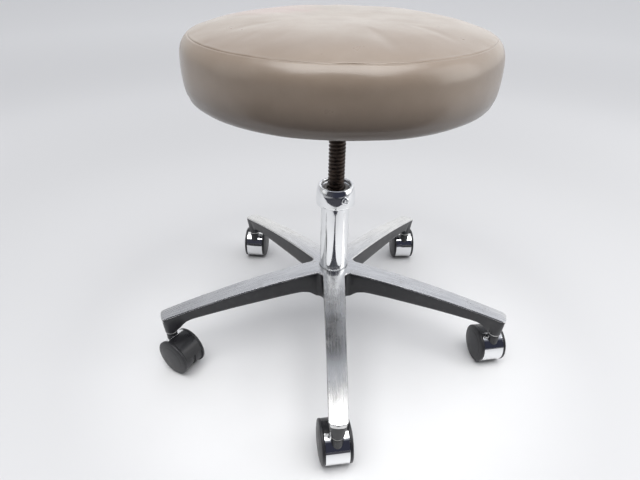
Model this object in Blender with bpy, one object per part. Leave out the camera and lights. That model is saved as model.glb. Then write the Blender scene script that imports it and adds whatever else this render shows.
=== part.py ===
"""Round dental stool with a screw-lift seat on a chromed column.

Units are metres and +Z is up. The origin is on the column's axis at floor level, and the
front leg points along -Y. The padded seat turns on a threaded spindle, which rises or sinks
in the nut at the top of the column. The column stands in a five-leg cast base, and each leg
ends in a hooded twin-wheel caster.
"""
import math

import bmesh
import bpy
from mathutils import Matrix

# Clearances
GAP = 0.0003
RUNNING_GAP = 0.0004

# Seat
SEAT_STEPS = 36
SEAT_TOP_Z = 0.4645
SEAT_FLAT_RADIUS = 0.050
SEAM_RADIUS = 0.1700
SEAM_Z = 0.4475
COVER_THICKNESS = 0.0012
SEAT_BASE_Z = 0.3800
HEM_INNER_RADIUS = 0.140
BOARD_RADIUS = 0.1660
BOARD_Z = 0.3825
BOARD_THICKNESS = 0.012
PLATE_SIZE = 0.120
PLATE_CORNER = 0.014
PLATE_Z = 0.3786
PLATE_THICKNESS = 0.0032
SEAT_SCREW_OFFSET = 0.045

# Spindle and its guide
SPINDLE_RADIUS = 0.0111
SPINDLE_END_RADIUS = 0.0060
SPINDLE_SHOULDER_Z = 0.1709
SPINDLE_TOP_FLANGE_RADIUS = 0.021
GUIDE_RADIUS = 0.0174
GUIDE_BASE_Z = 0.1566
GUIDE_HEIGHT = 0.0140

# Column and collar
COLUMN_STEPS = 28
COLUMN_RADIUS = 0.0200
COLUMN_WALL = 0.0022
COLUMN_BASE_Z = 0.0835
COLUMN_TOP_Z = 0.2490
COLLAR_BASE_Z = 0.2280
COLLAR_TOP_Z = 0.2555
NUT_BASE_Z = 0.2280
NUT_BORE_RADIUS = 0.0115
LOCK_SCREW_Z = 0.2425
LOCK_SCREW_HEAD_RADIUS = 0.0057
LOCK_SCREW_ANGLE = math.radians(-65)

# Five-leg base
LEG_NAMES = ("front", "right", "rear_right", "rear_left", "left")
LEG_START = -math.pi / 2
HUB_RADIUS = 0.0310
HUB_TOP_Z = 0.1255
HUB_BASE_Z = 0.0825
LEG_TIP_RADIUS = 0.2535
LEG_TIP_Z = 0.0890
BOSS_RADIUS = 0.0085
BOSS_BASE_Z = 0.0598
STEM_CIRCLE_RADIUS = 0.2430
SOCKET_TOP_Z = 0.0828

# Casters
CASTER_TRAIL = 0.0150
CASTER_TURN = {
    "front": math.radians(98),
    "right": math.radians(99),
    "rear_right": math.radians(93),
    "rear_left": math.radians(85),
    "left": math.radians(-34),
}
WHEEL_RADIUS = 0.0270
WHEEL_STEPS = 16
DRUM_RADIUS = 0.0250
AXLE_RADIUS = 0.0030
AXLE_HALF_LENGTH = 0.0150
WEB_HALF_WIDTH = 0.0021
WEB_RADIUS = 0.0235
HOOD_RADIUS = 0.0268
HOOD_THICKNESS = 0.0012
HOOD_HALF_WIDTH = 0.0143
HOOD_START = math.radians(58)
HOOD_END = math.radians(232)
NECK_RADIUS = 0.0075
NECK_TOP_Z = 0.0580
STEM_RADIUS = 0.0039
STEM_BASE_Z = 0.0533
STEM_TOP_Z = 0.0800

# Finishes: base colour, roughness and metallic value
VINYL = ((0.33, 0.27, 0.23), 0.48, 0.0)
FOAM = ((0.80, 0.74, 0.55), 0.95, 0.0)
PLYWOOD = ((0.55, 0.38, 0.22), 0.75, 0.0)
BLACK_STEEL = ((0.03, 0.03, 0.03), 0.50, 0.4)
OILED_STEEL = ((0.09, 0.06, 0.045), 0.38, 0.9)
ZINC = ((0.62, 0.62, 0.60), 0.35, 1.0)
CHROME = ((0.80, 0.81, 0.82), 0.06, 1.0)
ALUMINIUM = ((0.66, 0.66, 0.65), 0.28, 1.0)
NYLON_WHITE = ((0.72, 0.71, 0.66), 0.55, 0.0)
NYLON_BLACK = ((0.025, 0.025, 0.028), 0.42, 0.0)


def clear_scene():
    """Removes every object of the open file."""
    for found in list(bpy.data.objects):
        bpy.data.objects.remove(found, do_unlink=True)


def make_material(name, finish):
    """Returns a Principled material of the named node."""
    colour, roughness, metallic = finish
    material = bpy.data.materials.new(name)
    material.use_nodes = True
    shader = material.node_tree.nodes["Principled BSDF"]
    shader.inputs["Base Color"].default_value = (*colour, 1.0)
    shader.inputs["Roughness"].default_value = roughness
    shader.inputs["Metallic"].default_value = metallic
    material.diffuse_color = (*colour, 1.0)
    return material


def close_mesh(bm, name):
    """Points the faces of a finished bmesh outwards and returns it as a mesh."""
    bmesh.ops.recalc_face_normals(bm, faces=bm.faces)
    mesh = bpy.data.meshes.new(name)
    bm.to_mesh(mesh)
    bm.free()
    return mesh


def add_piece(name, mesh, finish, parent=None, smooth=True):
    """Adds one node of the stool to the scene."""
    piece = bpy.data.objects.new(name, mesh)
    bpy.context.scene.collection.objects.link(piece)
    mesh.materials.append(make_material(name, finish))
    if smooth:
        mesh.shade_smooth()
        mesh.set_sharp_from_angle(angle=math.radians(35))
    piece.parent = parent
    return piece


def add_tool(name, mesh, location=(0, 0, 0), parent=None):
    """Adds a shape that only cuts or joins another one."""
    tool = bpy.data.objects.new(name, mesh)
    bpy.context.scene.collection.objects.link(tool)
    tool.hide_render = True
    tool.display_type = "WIRE"
    tool.location = location
    tool.parent = parent
    return tool


def combine(target, tool, operation):
    """Adds an exact Boolean of the target with the tool."""
    modifier = target.modifiers.new(operation.title() + " " + tool.name, "BOOLEAN")
    modifier.operation = operation
    modifier.solver = "EXACT"
    modifier.object = tool


def ring_points(radius, height, steps):
    """Points of a level circle about the Z axis."""
    turns = [2 * math.pi * step / steps for step in range(steps)]
    return [(radius * math.cos(turn), radius * math.sin(turn), height) for turn in turns]


def turned_mesh(name, outline, steps):
    """Solid of revolution about Z from a closed outline of (radius, height) points.

    An outline that starts and ends on the axis is not wrapped round.
    """
    bm = bmesh.new()
    rings = []
    for radius, height in outline:
        points = ring_points(radius, height, steps) if radius > 0 else [(0, 0, height)]
        rings.append([bm.verts.new(point) for point in points])
    following = rings[1:] + rings[:1]
    for ring, other in zip(rings, following):
        if len(ring) == len(other) == 1:
            continue
        for here in range(steps):
            there = (here + 1) % steps
            corners = (ring[here % len(ring)], ring[there % len(ring)],
                       other[there % len(other)], other[here % len(other)])
            bm.faces.new(list(dict.fromkeys(corners)))
    return close_mesh(bm, name)


def cylinder_mesh(name, radius, low, high, steps=24):
    """Plain cylinder about Z between two heights."""
    return turned_mesh(name, [(0, low), (radius, low), (radius, high), (0, high)], steps)


def lofted_mesh(name, sections):
    """Solid through a row of closed sections that have the same number of points."""
    bm = bmesh.new()
    loops = [[bm.verts.new(point) for point in section] for section in sections]
    count = len(loops[0])
    for first, second in zip(loops, loops[1:]):
        for here in range(count):
            there = (here + 1) % count
            bm.faces.new((first[here], first[there], second[there], second[here]))
    bm.faces.new(loops[0])
    bm.faces.new(loops[-1])
    return close_mesh(bm, name)


def box_mesh(name, low, high):
    """Box between two opposite corners."""
    corners = ((low[0], low[1]), (high[0], low[1]), (high[0], high[1]), (low[0], high[1]))
    return lofted_mesh(name, [[(x, y, z) for x, y in corners] for z in (low[2], high[2])])


def turn_mesh(mesh, angle, axis):
    """Turns a mesh about one of its own axes."""
    mesh.transform(Matrix.Rotation(angle, 4, axis))
    return mesh


def offset_outline(points, distance):
    """Moves an open outline sideways: a positive distance is to the right of its direction."""
    moved = []
    for index, (radius, height) in enumerate(points):
        before = points[max(index - 1, 0)]
        after = points[min(index + 1, len(points) - 1)]
        along = (after[0] - before[0], after[1] - before[1])
        length = math.hypot(*along)
        moved.append((max(radius + distance * along[1] / length, 0),
                      height - distance * along[0] / length))
    return moved


# Seat

def crown_outline():
    """Outer outline of the seat's top panel, from its centre to the seam."""
    rise = SEAT_TOP_Z - SEAM_Z
    points = [(0, SEAT_TOP_Z), (SEAT_FLAT_RADIUS, SEAT_TOP_Z)]
    for share in (0.30, 0.55, 0.76, 0.91, 1.0):
        radius = SEAT_FLAT_RADIUS + share * (SEAM_RADIUS - 0.0004 - SEAT_FLAT_RADIUS)
        points.append((radius, SEAT_TOP_Z + 0.0003 - rise * share ** 2.5))
    return points


def band_outline():
    """Outer outline of the side band, from the seam down and under to the hem."""
    return [(SEAM_RADIUS + GAP, SEAM_Z), (0.1755, 0.4420), (0.1798, 0.4325), (0.1808, 0.4190),
            (0.1805, 0.4050), (0.1785, 0.3925), (0.1738, 0.3838), (0.1685, SEAT_BASE_Z),
            (HEM_INNER_RADIUS, SEAT_BASE_Z)]


def build_cover(parent):
    """Two vinyl pieces: the crowned top panel and the side band that tucks under the board."""
    outer = crown_outline()
    inner = offset_outline(outer, COVER_THICKNESS)
    inner[0] = (0, outer[0][1] - COVER_THICKNESS)
    top = turned_mesh("cover_top", outer + inner[::-1], SEAT_STEPS)
    add_piece("cover_top", top, VINYL, parent)
    outer = band_outline()
    inner = offset_outline(outer, COVER_THICKNESS)
    inner[-1] = (HEM_INNER_RADIUS, SEAT_BASE_Z + COVER_THICKNESS)
    inner[0] = (outer[0][0], SEAM_Z - 2 * COVER_THICKNESS)
    band = turned_mesh("cover_band", outer + inner[::-1], SEAT_STEPS)
    add_piece("cover_band", band, VINYL, parent)


def build_foam(parent):
    """Foam pad that fills the cover above the board."""
    inset = COVER_THICKNESS + 2 * GAP
    crown = offset_outline(crown_outline(), inset)[1:-1]
    side = offset_outline(band_outline(), inset)[1:-3]
    base_z = BOARD_Z + BOARD_THICKNESS + GAP
    outline = [(0, SEAT_TOP_Z - inset)] + crown + side
    outline += [(side[-1][0] - 0.0005, base_z), (0, base_z)]
    add_piece("foam_pad", turned_mesh("foam_pad", outline, SEAT_STEPS), FOAM, parent)


def screw_places():
    """Corners of the square on which the seat's four screws sit."""
    signs = ((1, 1), (-1, 1), (-1, -1), (1, -1))
    return [(SEAT_SCREW_OFFSET * x, SEAT_SCREW_OFFSET * y, 0) for x, y in signs]


def build_board(parent):
    """Plywood seat board with a counterbored hole for each tee nut."""
    top = BOARD_Z + BOARD_THICKNESS
    edge = 0.001
    outline = [(0, BOARD_Z), (BOARD_RADIUS - edge, BOARD_Z), (BOARD_RADIUS, BOARD_Z + edge),
               (BOARD_RADIUS, top), (0, top)]
    board = add_piece("seat_board", turned_mesh("seat_board", outline, SEAT_STEPS), PLYWOOD,
                      parent)
    for number, place in enumerate(screw_places(), 1):
        drill = [(0, BOARD_Z - 0.001), (0.0044, BOARD_Z - 0.001), (0.0044, top - 0.0016),
                 (0.0100, top - 0.0016), (0.0100, top + 0.001), (0, top + 0.001)]
        tool = add_tool(f"board_drill_{number}", turned_mesh("drill", drill, 12), place, parent)
        combine(board, tool, "DIFFERENCE")


def plate_corners(size, corner, height):
    """Square with rounded corners at one height."""
    half = size / 2 - corner
    points = []
    for quarter, (x, y) in enumerate(((1, 1), (-1, 1), (-1, -1), (1, -1))):
        for step in range(4):
            turn = math.pi / 2 * (quarter + step / 3)
            points.append((half * x + corner * math.cos(turn),
                           half * y + corner * math.sin(turn), height))
    return points


def build_plate(parent):
    """Pressed steel plate that joins the spindle to the board."""
    top = PLATE_Z + PLATE_THICKNESS
    sections = [plate_corners(PLATE_SIZE, PLATE_CORNER, z) for z in (PLATE_Z, top)]
    plate = add_piece("seat_plate", lofted_mesh("seat_plate", sections), BLACK_STEEL, parent,
                      smooth=False)
    for number, place in enumerate(screw_places(), 1):
        hole = cylinder_mesh("hole", 0.0034, PLATE_Z - 0.001, top + 0.001, 12)
        tool = add_tool(f"plate_drill_{number}", hole, place, parent)
        combine(plate, tool, "DIFFERENCE")


def build_seat_fasteners(parent):
    """Four screws with the tee nuts they turn into."""
    shank = 0.0030
    head_low = PLATE_Z - GAP - 0.0038
    screw = [(0, head_low), (0.0046, head_low), (0.0056, head_low + 0.0012),
             (0.0056, PLATE_Z - GAP), (shank, PLATE_Z - GAP), (shank, 0.3930), (0, 0.3930)]
    top = BOARD_Z + BOARD_THICKNESS - 0.0001
    bore = shank + GAP
    tee = [(bore, 0.3860), (0.0041, 0.3860), (0.0041, top - 0.0012), (0.0096, top - 0.0012),
           (0.0096, top), (bore, top)]
    for number, place in enumerate(screw_places(), 1):
        name = f"seat_screw_{number}"
        add_piece(name, turned_mesh(name, screw, 12), ZINC, parent).location = place
        name = f"tee_nut_{number}"
        add_piece(name, turned_mesh(name, tee, 12), ZINC, parent).location = place


# Spindle

def build_spindle(parent):
    """Threaded spindle, modelled at its crest radius, with a flange under the seat plate."""
    top = PLATE_Z - GAP
    outline = [(0, GUIDE_BASE_Z), (SPINDLE_END_RADIUS, GUIDE_BASE_Z),
               (SPINDLE_END_RADIUS, SPINDLE_SHOULDER_Z), (SPINDLE_RADIUS, SPINDLE_SHOULDER_Z),
               (SPINDLE_RADIUS, top - 0.0080), (0.0150, top - 0.0040),
               (SPINDLE_TOP_FLANGE_RADIUS, top - 0.0030), (SPINDLE_TOP_FLANGE_RADIUS, top),
               (0, top)]
    spindle = add_piece("spindle", turned_mesh("spindle", outline, 24), OILED_STEEL, parent)
    tapped = cylinder_mesh("tapped", 0.0025, GUIDE_BASE_Z - 0.001, GUIDE_BASE_Z + 0.0105, 12)
    combine(spindle, add_tool("spindle_end_drill", tapped, parent=parent), "DIFFERENCE")
    washer_top = GUIDE_BASE_Z - GAP
    washer_low = washer_top - 0.0020
    washer = [(0.0025, washer_low), (0.0120, washer_low), (0.0120, washer_top),
              (0.0025, washer_top)]
    add_piece("guide_washer", turned_mesh("guide_washer", washer, 20), ZINC, parent)
    head_top = washer_low - GAP
    screw = [(0, head_top - 0.0040), (0.0045, head_top - 0.0040), (0.0045, head_top),
             (0.0022, head_top), (0.0022, GUIDE_BASE_Z + 0.0095), (0, GUIDE_BASE_Z + 0.0095)]
    add_piece("guide_screw", turned_mesh("guide_screw", screw, 12), ZINC, parent)


def build_guide(parent):
    """Nylon bush at the spindle's lower end, which slides in the tube without turning."""
    low = GUIDE_BASE_Z
    high = GUIDE_BASE_Z + GUIDE_HEIGHT
    bore = SPINDLE_END_RADIUS + GAP
    edge = 0.001
    outline = [(bore, low), (GUIDE_RADIUS - edge, low), (GUIDE_RADIUS, low + edge),
               (GUIDE_RADIUS, high - edge), (GUIDE_RADIUS - edge, high), (bore, high)]
    add_piece("guide_bush", turned_mesh("guide_bush", outline, 24), NYLON_WHITE, parent)


# Column

def lock_screw_tool(name, radius):
    """Radial drill for the lock screw, from the spindle's side outwards."""
    drill = cylinder_mesh(name, radius, 0.0130, 0.0330, 12)
    turn_mesh(drill, math.pi / 2, "Y")
    turn_mesh(drill, LOCK_SCREW_ANGLE, "Z")
    return add_tool(name, drill, (0, 0, LOCK_SCREW_Z))


def build_column():
    """Chromed tube, pressed into the hub, with a cap in its lower end."""
    inner = COLUMN_RADIUS - COLUMN_WALL
    edge = 0.0008
    outline = [(inner, COLUMN_BASE_Z), (COLUMN_RADIUS - edge, COLUMN_BASE_Z),
               (COLUMN_RADIUS, COLUMN_BASE_Z + edge), (COLUMN_RADIUS, COLUMN_TOP_Z - edge),
               (COLUMN_RADIUS - edge, COLUMN_TOP_Z), (inner, COLUMN_TOP_Z)]
    mesh = turned_mesh("column_tube", outline, COLUMN_STEPS)
    tube = add_piece("column_tube", mesh, CHROME)
    combine(tube, lock_screw_tool("tube_drill", 0.0026), "DIFFERENCE")
    cap = cylinder_mesh("column_cap", inner - GAP, COLUMN_BASE_Z + GAP, COLUMN_BASE_Z + 0.0033)
    add_piece("column_cap", cap, NYLON_BLACK)


def build_collar():
    """Barrel-shaped chromed collar that hides the joint of the tube and the nut."""
    bore = COLUMN_RADIUS + GAP
    mouth = 0.0209
    lip = 0.0190
    shelf = COLUMN_TOP_Z + GAP
    outline = [(bore, COLLAR_BASE_Z), (0.0236, COLLAR_BASE_Z), (0.0257, 0.2295), (0.0266, 0.2335),
               (0.0272, 0.2390), (0.0271, 0.2435), (0.0264, 0.2480), (0.0250, 0.2522),
               (0.0234, COLLAR_TOP_Z), (0.0216, COLLAR_TOP_Z), (mouth, 0.2545),
               (mouth, shelf + 0.0012), (lip, shelf + 0.0007), (lip, shelf), (bore, shelf)]
    mesh = turned_mesh("column_collar", outline, COLUMN_STEPS)
    collar = add_piece("column_collar", mesh, CHROME)
    combine(collar, lock_screw_tool("collar_drill", 0.0026), "DIFFERENCE")


def build_nut():
    """Flanged nut in the top of the tube, in which the spindle turns."""
    body = COLUMN_RADIUS - COLUMN_WALL - GAP
    seat = COLUMN_TOP_Z + GAP
    outline = [(NUT_BORE_RADIUS, NUT_BASE_Z), (body, NUT_BASE_Z), (body, seat), (0.0186, seat),
               (0.0186, seat + 0.0012), (0.0165, 0.2520), (0.0135, 0.2520),
               (NUT_BORE_RADIUS, 0.2505)]
    nut = add_piece("thread_nut", turned_mesh("thread_nut", outline, COLUMN_STEPS), ZINC)
    combine(nut, lock_screw_tool("nut_drill", 0.0026), "DIFFERENCE")


def build_lock_screw():
    """Pan-head screw that holds the collar and the nut on the tube."""
    head = LOCK_SCREW_HEAD_RADIUS
    outline = [(0, 0.0150), (0.0022, 0.0150), (0.0022, 0.0276), (head - 0.0002, 0.0276),
               (head, 0.0284), (head - 0.0008, 0.0299), (0.0024, 0.0307), (0, 0.0309)]
    mesh = turned_mesh("collar_screw", outline, 16)
    turn_mesh(mesh, math.pi / 2, "Y")
    turn_mesh(mesh, LOCK_SCREW_ANGLE, "Z")
    add_piece("collar_screw", mesh, CHROME).location = (0, 0, LOCK_SCREW_Z)


# Base casting

def leg_share(radius):
    """Share of the way from the hub's edge to the leg's tip."""
    return max(radius - HUB_RADIUS, 0) / (LEG_TIP_RADIUS - HUB_RADIUS)


def leg_top(radius):
    """Height of a leg's top face, which arches down to the tip."""
    share = leg_share(radius)
    fall = HUB_TOP_Z - LEG_TIP_Z
    return HUB_TOP_Z - fall * (0.46 * share + 0.54 * share ** 2)


def leg_half_width(radius):
    """Half width of a leg's top face."""
    return 0.0158 - 0.0046 * leg_share(radius)


def leg_section(radius, depth, base_half_width, end_inset=0.0):
    """Six-sided section across a leg at one distance from the column."""
    top = leg_top(radius)
    edge = 0.0012
    half = leg_half_width(radius) - end_inset
    base = min(base_half_width, half)
    outline = ((half - edge, top), (half, top - edge), (base, top - depth),
               (-base, top - depth), (-half, top - edge), (edge - half, top))
    return [(radius, across, height) for across, height in outline]


def leg_mesh(name):
    """One leg along +X, with the caster boss under its tip."""
    depths = ((0.0060, 0.0420), (0.0340, 0.0418), (0.0380, 0.0378), (0.0430, 0.0332),
              (0.0520, 0.0290), (0.0620, 0.0276), (0.0900, 0.0261), (0.1100, 0.0252),
              (0.1500, 0.0223), (0.1900, 0.0191), (0.2080, 0.0178), (0.2160, 0.0184),
              (0.2240, 0.0222), (0.2300, 0.0280))
    sections = [leg_section(radius, depth, leg_half_width(radius) - 0.0010)
                for radius, depth in depths]
    for radius, inset in ((0.2350, 0.0), (0.2430, 0.0), (0.2480, 0.0), (0.2510, 0.0009),
                          (0.2525, 0.0023), (LEG_TIP_RADIUS, 0.0050)):
        reach = max(BOSS_RADIUS ** 2 - (radius - STEM_CIRCLE_RADIUS) ** 2, 0) ** 0.5
        base = max(reach, 0.0040)
        sections.append(leg_section(radius, leg_top(radius) - BOSS_BASE_Z, base, inset))
    return lofted_mesh(name, sections)


def leg_angle(index):
    """Direction of a leg, counted anticlockwise from the front one."""
    return LEG_START + index * 2 * math.pi / len(LEG_NAMES)


def stem_place(index):
    """Point at floor level below a leg's caster socket."""
    angle = leg_angle(index)
    return (STEM_CIRCLE_RADIUS * math.cos(angle), STEM_CIRCLE_RADIUS * math.sin(angle), 0)


def build_casting():
    """Hub and five legs in one aluminium casting, bored for the column and the sockets."""
    edge = 0.0015
    hub = [(0, HUB_BASE_Z), (HUB_RADIUS - edge, HUB_BASE_Z), (HUB_RADIUS, HUB_BASE_Z + edge),
           (HUB_RADIUS, HUB_TOP_Z - edge), (HUB_RADIUS - edge, HUB_TOP_Z), (0, HUB_TOP_Z)]
    mesh = turned_mesh("base_casting", hub, 40)
    turn_mesh(mesh, LEG_START + math.pi / 40, "Z")
    casting = add_piece("base_casting", mesh, ALUMINIUM)
    for index, name in enumerate(LEG_NAMES):
        leg = add_tool(f"leg_{name}", turn_mesh(leg_mesh("leg"), leg_angle(index), "Z"))
        combine(casting, leg, "UNION")
    for index, name in enumerate(LEG_NAMES):
        drill = cylinder_mesh("socket", 0.0061, BOSS_BASE_Z - 0.001, SOCKET_TOP_Z, 16)
        tool = add_tool(f"socket_drill_{name}", drill, stem_place(index))
        combine(casting, tool, "DIFFERENCE")
    bore = cylinder_mesh("bore", COLUMN_RADIUS + GAP, HUB_BASE_Z - 0.01, HUB_TOP_Z + 0.01,
                         COLUMN_STEPS)
    combine(casting, add_tool("column_bore", bore), "DIFFERENCE")


def build_sockets():
    """Flanged steel sleeves that hold the caster stems."""
    bore = STEM_RADIUS + GAP
    low = BOSS_BASE_Z - GAP - 0.0012
    seat = BOSS_BASE_Z - GAP
    outline = [(bore, low), (0.0080, low), (0.0080, seat), (0.0058, seat), (0.0058, 0.0812),
               (bore, 0.0812)]
    for index, name in enumerate(LEG_NAMES):
        mesh = turned_mesh(f"socket_{name}", outline, 12)
        add_piece(f"socket_{name}", mesh, ZINC).location = stem_place(index)


# Casters, each built with its stem on the local Z axis and its wheels trailing along +X

def neck_outline():
    """Vertical neck of a caster's body."""
    edge = 0.0008
    return [(0, 0.0290), (NECK_RADIUS, 0.0290), (NECK_RADIUS, NECK_TOP_Z - edge),
            (NECK_RADIUS - edge, NECK_TOP_Z), (0, NECK_TOP_Z)]


def cross_cylinder(name, radius, half_width, steps=24):
    """Cylinder round the wheel axle of a caster."""
    mesh = cylinder_mesh(name, radius, -half_width, half_width, steps)
    turn_mesh(mesh, math.pi / 2, "X")
    mesh.transform(Matrix.Translation((CASTER_TRAIL, 0, WHEEL_RADIUS)))
    return mesh


def build_caster_body(name, swivel):
    """Nylon body: a neck over the hood and a web between the wheels."""
    body = add_piece(f"caster_body_{name}", turned_mesh("neck", neck_outline(), 16),
                     NYLON_BLACK, swivel)
    clearance = cross_cylinder("clearance", HOOD_RADIUS + GAP, 0.020)
    combine(body, add_tool(f"neck_cut_{name}", clearance, parent=swivel), "DIFFERENCE")
    web = cross_cylinder("web", WEB_RADIUS, WEB_HALF_WIDTH)
    combine(body, add_tool(f"web_{name}", web, parent=swivel), "UNION")
    tongue = box_mesh("tongue", (-0.0050, -WEB_HALF_WIDTH, 0.0330),
                      (0.0062, WEB_HALF_WIDTH, STEM_BASE_Z - 0.0004))
    combine(body, add_tool(f"tongue_{name}", tongue, parent=swivel), "UNION")
    stem_hole = cylinder_mesh("stem_hole", STEM_RADIUS + GAP, STEM_BASE_Z - GAP,
                              NECK_TOP_Z + 0.0050, 16)
    combine(body, add_tool(f"stem_drill_{name}", stem_hole, parent=swivel), "DIFFERENCE")
    axle_hole = cross_cylinder("axle_hole", AXLE_RADIUS + GAP, 0.010, 16)
    combine(body, add_tool(f"axle_drill_{name}", axle_hole, parent=swivel), "DIFFERENCE")


def build_hood(name, swivel):
    """Chromed hood: a curved strip over the neck's side of the wheels."""
    steps = 18
    sections = []
    for step in range(steps + 1):
        turn = HOOD_START + (HOOD_END - HOOD_START) * step / steps
        section = []
        for radius, side in ((HOOD_RADIUS - HOOD_THICKNESS, -1), (HOOD_RADIUS, -1),
                             (HOOD_RADIUS, 1), (HOOD_RADIUS - HOOD_THICKNESS, 1)):
            section.append((CASTER_TRAIL + radius * math.cos(turn), side * HOOD_HALF_WIDTH,
                            WHEEL_RADIUS + radius * math.sin(turn)))
        sections.append(section)
    hood = add_piece(f"caster_hood_{name}", lofted_mesh("hood", sections), CHROME, swivel)
    half_slot = WEB_HALF_WIDTH + GAP
    slot = box_mesh("slot", (-0.0056, -half_slot, 0.0270), (0.0068, half_slot, 0.0600))
    combine(hood, add_tool(f"hood_slot_{name}", slot, parent=swivel), "DIFFERENCE")


def build_stem_and_axle(name, swivel):
    """Steel stem in the neck and the axle across the web."""
    tip = 0.0010
    stem = [(0, STEM_BASE_Z), (STEM_RADIUS, STEM_BASE_Z), (STEM_RADIUS, STEM_TOP_Z - tip),
            (STEM_RADIUS - tip, STEM_TOP_Z), (0, STEM_TOP_Z)]
    add_piece(f"caster_stem_{name}", turned_mesh("stem", stem, 12), ZINC, swivel)
    axle = cylinder_mesh("axle", AXLE_RADIUS, -AXLE_HALF_LENGTH, AXLE_HALF_LENGTH, 16)
    turn_mesh(axle, math.pi / 2, "X")
    axle_piece = add_piece(f"caster_axle_{name}", axle, ZINC, swivel)
    axle_piece.location = (CASTER_TRAIL, 0, WHEEL_RADIUS)


def wheel_outline():
    """Outline of a wheel from its domed face round the rim and drum to its blind bore."""
    bore = AXLE_RADIUS + RUNNING_GAP / 2
    blind_end = AXLE_HALF_LENGTH + 0.0006
    rim = WHEEL_RADIUS
    return [(0, 0.0210), (0.0150, 0.0203), (rim - 0.0008, 0.0182), (rim, 0.0174), (rim, 0.0150),
            (rim - 0.0005, 0.0146), (DRUM_RADIUS, 0.0146), (DRUM_RADIUS, 0.0026), (bore, 0.0026),
            (bore, blind_end), (0, blind_end)]


def build_wheels(name, swivel):
    """Two nylon wheels, one on each side of the web."""
    for side, sign in (("a", 1), ("b", -1)):
        mesh = turned_mesh("wheel", wheel_outline(), WHEEL_STEPS)
        turn_mesh(mesh, -sign * math.pi / 2, "X")
        wheel = add_piece(f"caster_wheel_{name}_{side}", mesh, NYLON_BLACK, swivel)
        wheel.location = (CASTER_TRAIL, 0, WHEEL_RADIUS)


def build_casters():
    """Five twin-wheel casters, each parented to an empty on its swivel axis."""
    for index, name in enumerate(LEG_NAMES):
        swivel = bpy.data.objects.new(f"swivel_{name}", None)
        bpy.context.scene.collection.objects.link(swivel)
        swivel.location = stem_place(index)
        swivel.rotation_euler = (0, 0, CASTER_TURN[name])
        build_caster_body(name, swivel)
        build_hood(name, swivel)
        build_stem_and_axle(name, swivel)
        build_wheels(name, swivel)


def main():
    """Builds the whole stool."""
    clear_scene()
    seat_pivot = bpy.data.objects.new("seat_pivot", None)
    bpy.context.scene.collection.objects.link(seat_pivot)
    build_cover(seat_pivot)
    build_foam(seat_pivot)
    build_board(seat_pivot)
    build_plate(seat_pivot)
    build_seat_fasteners(seat_pivot)
    build_spindle(seat_pivot)
    build_guide(seat_pivot)
    build_column()
    build_collar()
    build_nut()
    build_lock_screw()
    build_casting()
    build_sockets()
    build_casters()


main()
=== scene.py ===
"""Looks of the round dental stool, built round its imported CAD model.

Upholstered seat, threaded spindle, chromed column with its collar, polished five-leg casting
and five hooded twin-wheel casters. Units are metres, +Z is up and the front leg points to -Y.
"""
from math import acos, atan2, cos, exp, hypot, pi, radians, sin, sqrt, tan

import bmesh
import bpy
from mathutils import Matrix, Vector, noise


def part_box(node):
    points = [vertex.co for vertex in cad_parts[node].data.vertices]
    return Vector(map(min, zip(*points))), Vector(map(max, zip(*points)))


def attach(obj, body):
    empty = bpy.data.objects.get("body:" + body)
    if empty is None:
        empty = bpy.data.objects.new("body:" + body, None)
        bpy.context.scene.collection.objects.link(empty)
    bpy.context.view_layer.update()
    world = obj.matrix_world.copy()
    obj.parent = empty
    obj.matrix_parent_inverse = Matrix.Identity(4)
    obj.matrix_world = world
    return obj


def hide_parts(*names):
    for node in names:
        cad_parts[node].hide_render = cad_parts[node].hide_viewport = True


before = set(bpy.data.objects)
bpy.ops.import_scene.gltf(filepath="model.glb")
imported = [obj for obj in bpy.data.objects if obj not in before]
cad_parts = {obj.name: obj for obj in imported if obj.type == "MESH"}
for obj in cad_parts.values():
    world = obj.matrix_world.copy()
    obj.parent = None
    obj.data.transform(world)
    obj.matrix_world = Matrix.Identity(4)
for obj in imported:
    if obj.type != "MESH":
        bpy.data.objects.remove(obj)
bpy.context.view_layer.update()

MM = 0.001
LEG_NAMES = ("front", "right", "rear_right", "rear_left", "left")
LEG_SPREAD = 2 * pi / len(LEG_NAMES)

# Sizes read from the CAD nodes
SEAM_RADIUS, _, CROWN_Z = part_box("cover_top")[1]
HEM_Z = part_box("cover_band")[0].z
SEAT_RADIUS, _, SEAM_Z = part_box("cover_band")[1]
BOARD_LOW_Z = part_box("seat_board")[0].z
BOARD_RADIUS, _, BOARD_TOP_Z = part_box("seat_board")[1]
SPINDLE_LOW_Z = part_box("spindle")[0].z
FLANGE_RADIUS, _, SPINDLE_TOP_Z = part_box("spindle")[1]
GUIDE_TOP_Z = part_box("guide_bush")[1].z
COLUMN_LOW_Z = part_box("column_tube")[0].z
COLUMN_RADIUS, _, COLUMN_TOP_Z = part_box("column_tube")[1]
COLLAR_LOW_Z, COLLAR_TOP_Z = [corner.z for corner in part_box("column_collar")]
NUT_LOW_Z, NUT_TOP_Z = [corner.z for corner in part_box("thread_nut")]
HUB_TOP_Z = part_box("base_casting")[1].z
BOSS_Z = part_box("base_casting")[0].z
TIP_RADIUS = -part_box("base_casting")[0].y
SOCKET_LOW_Z, SOCKET_TOP_Z = [corner.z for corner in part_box("socket_front")]
NECK_TOP_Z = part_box("caster_body_front")[1].z

# Seat
SEAT_STEPS = 180
CROWN_FLAT = 0.05
CROWN_DROP = 0.0018
CROWN_POWER = 3
HEM_RADIUS = 0.14
STUFFING_ROOM = 0.0022
SWELL_LIMIT = 0.0045
SEAM_RINGS = (0.4, 0.9, 1.5, 2.3, 3.4, 5, 7.5)
CLOTH_FRAMES = 20
CLOTH_SETTINGS = dict(quality=8, mass=0.15, tension_stiffness=60, compression_stiffness=60,
                      shear_stiffness=20, bending_stiffness=4, use_pressure=True,
                      uniform_pressure_force=4, vertex_group_mass="held")

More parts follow.
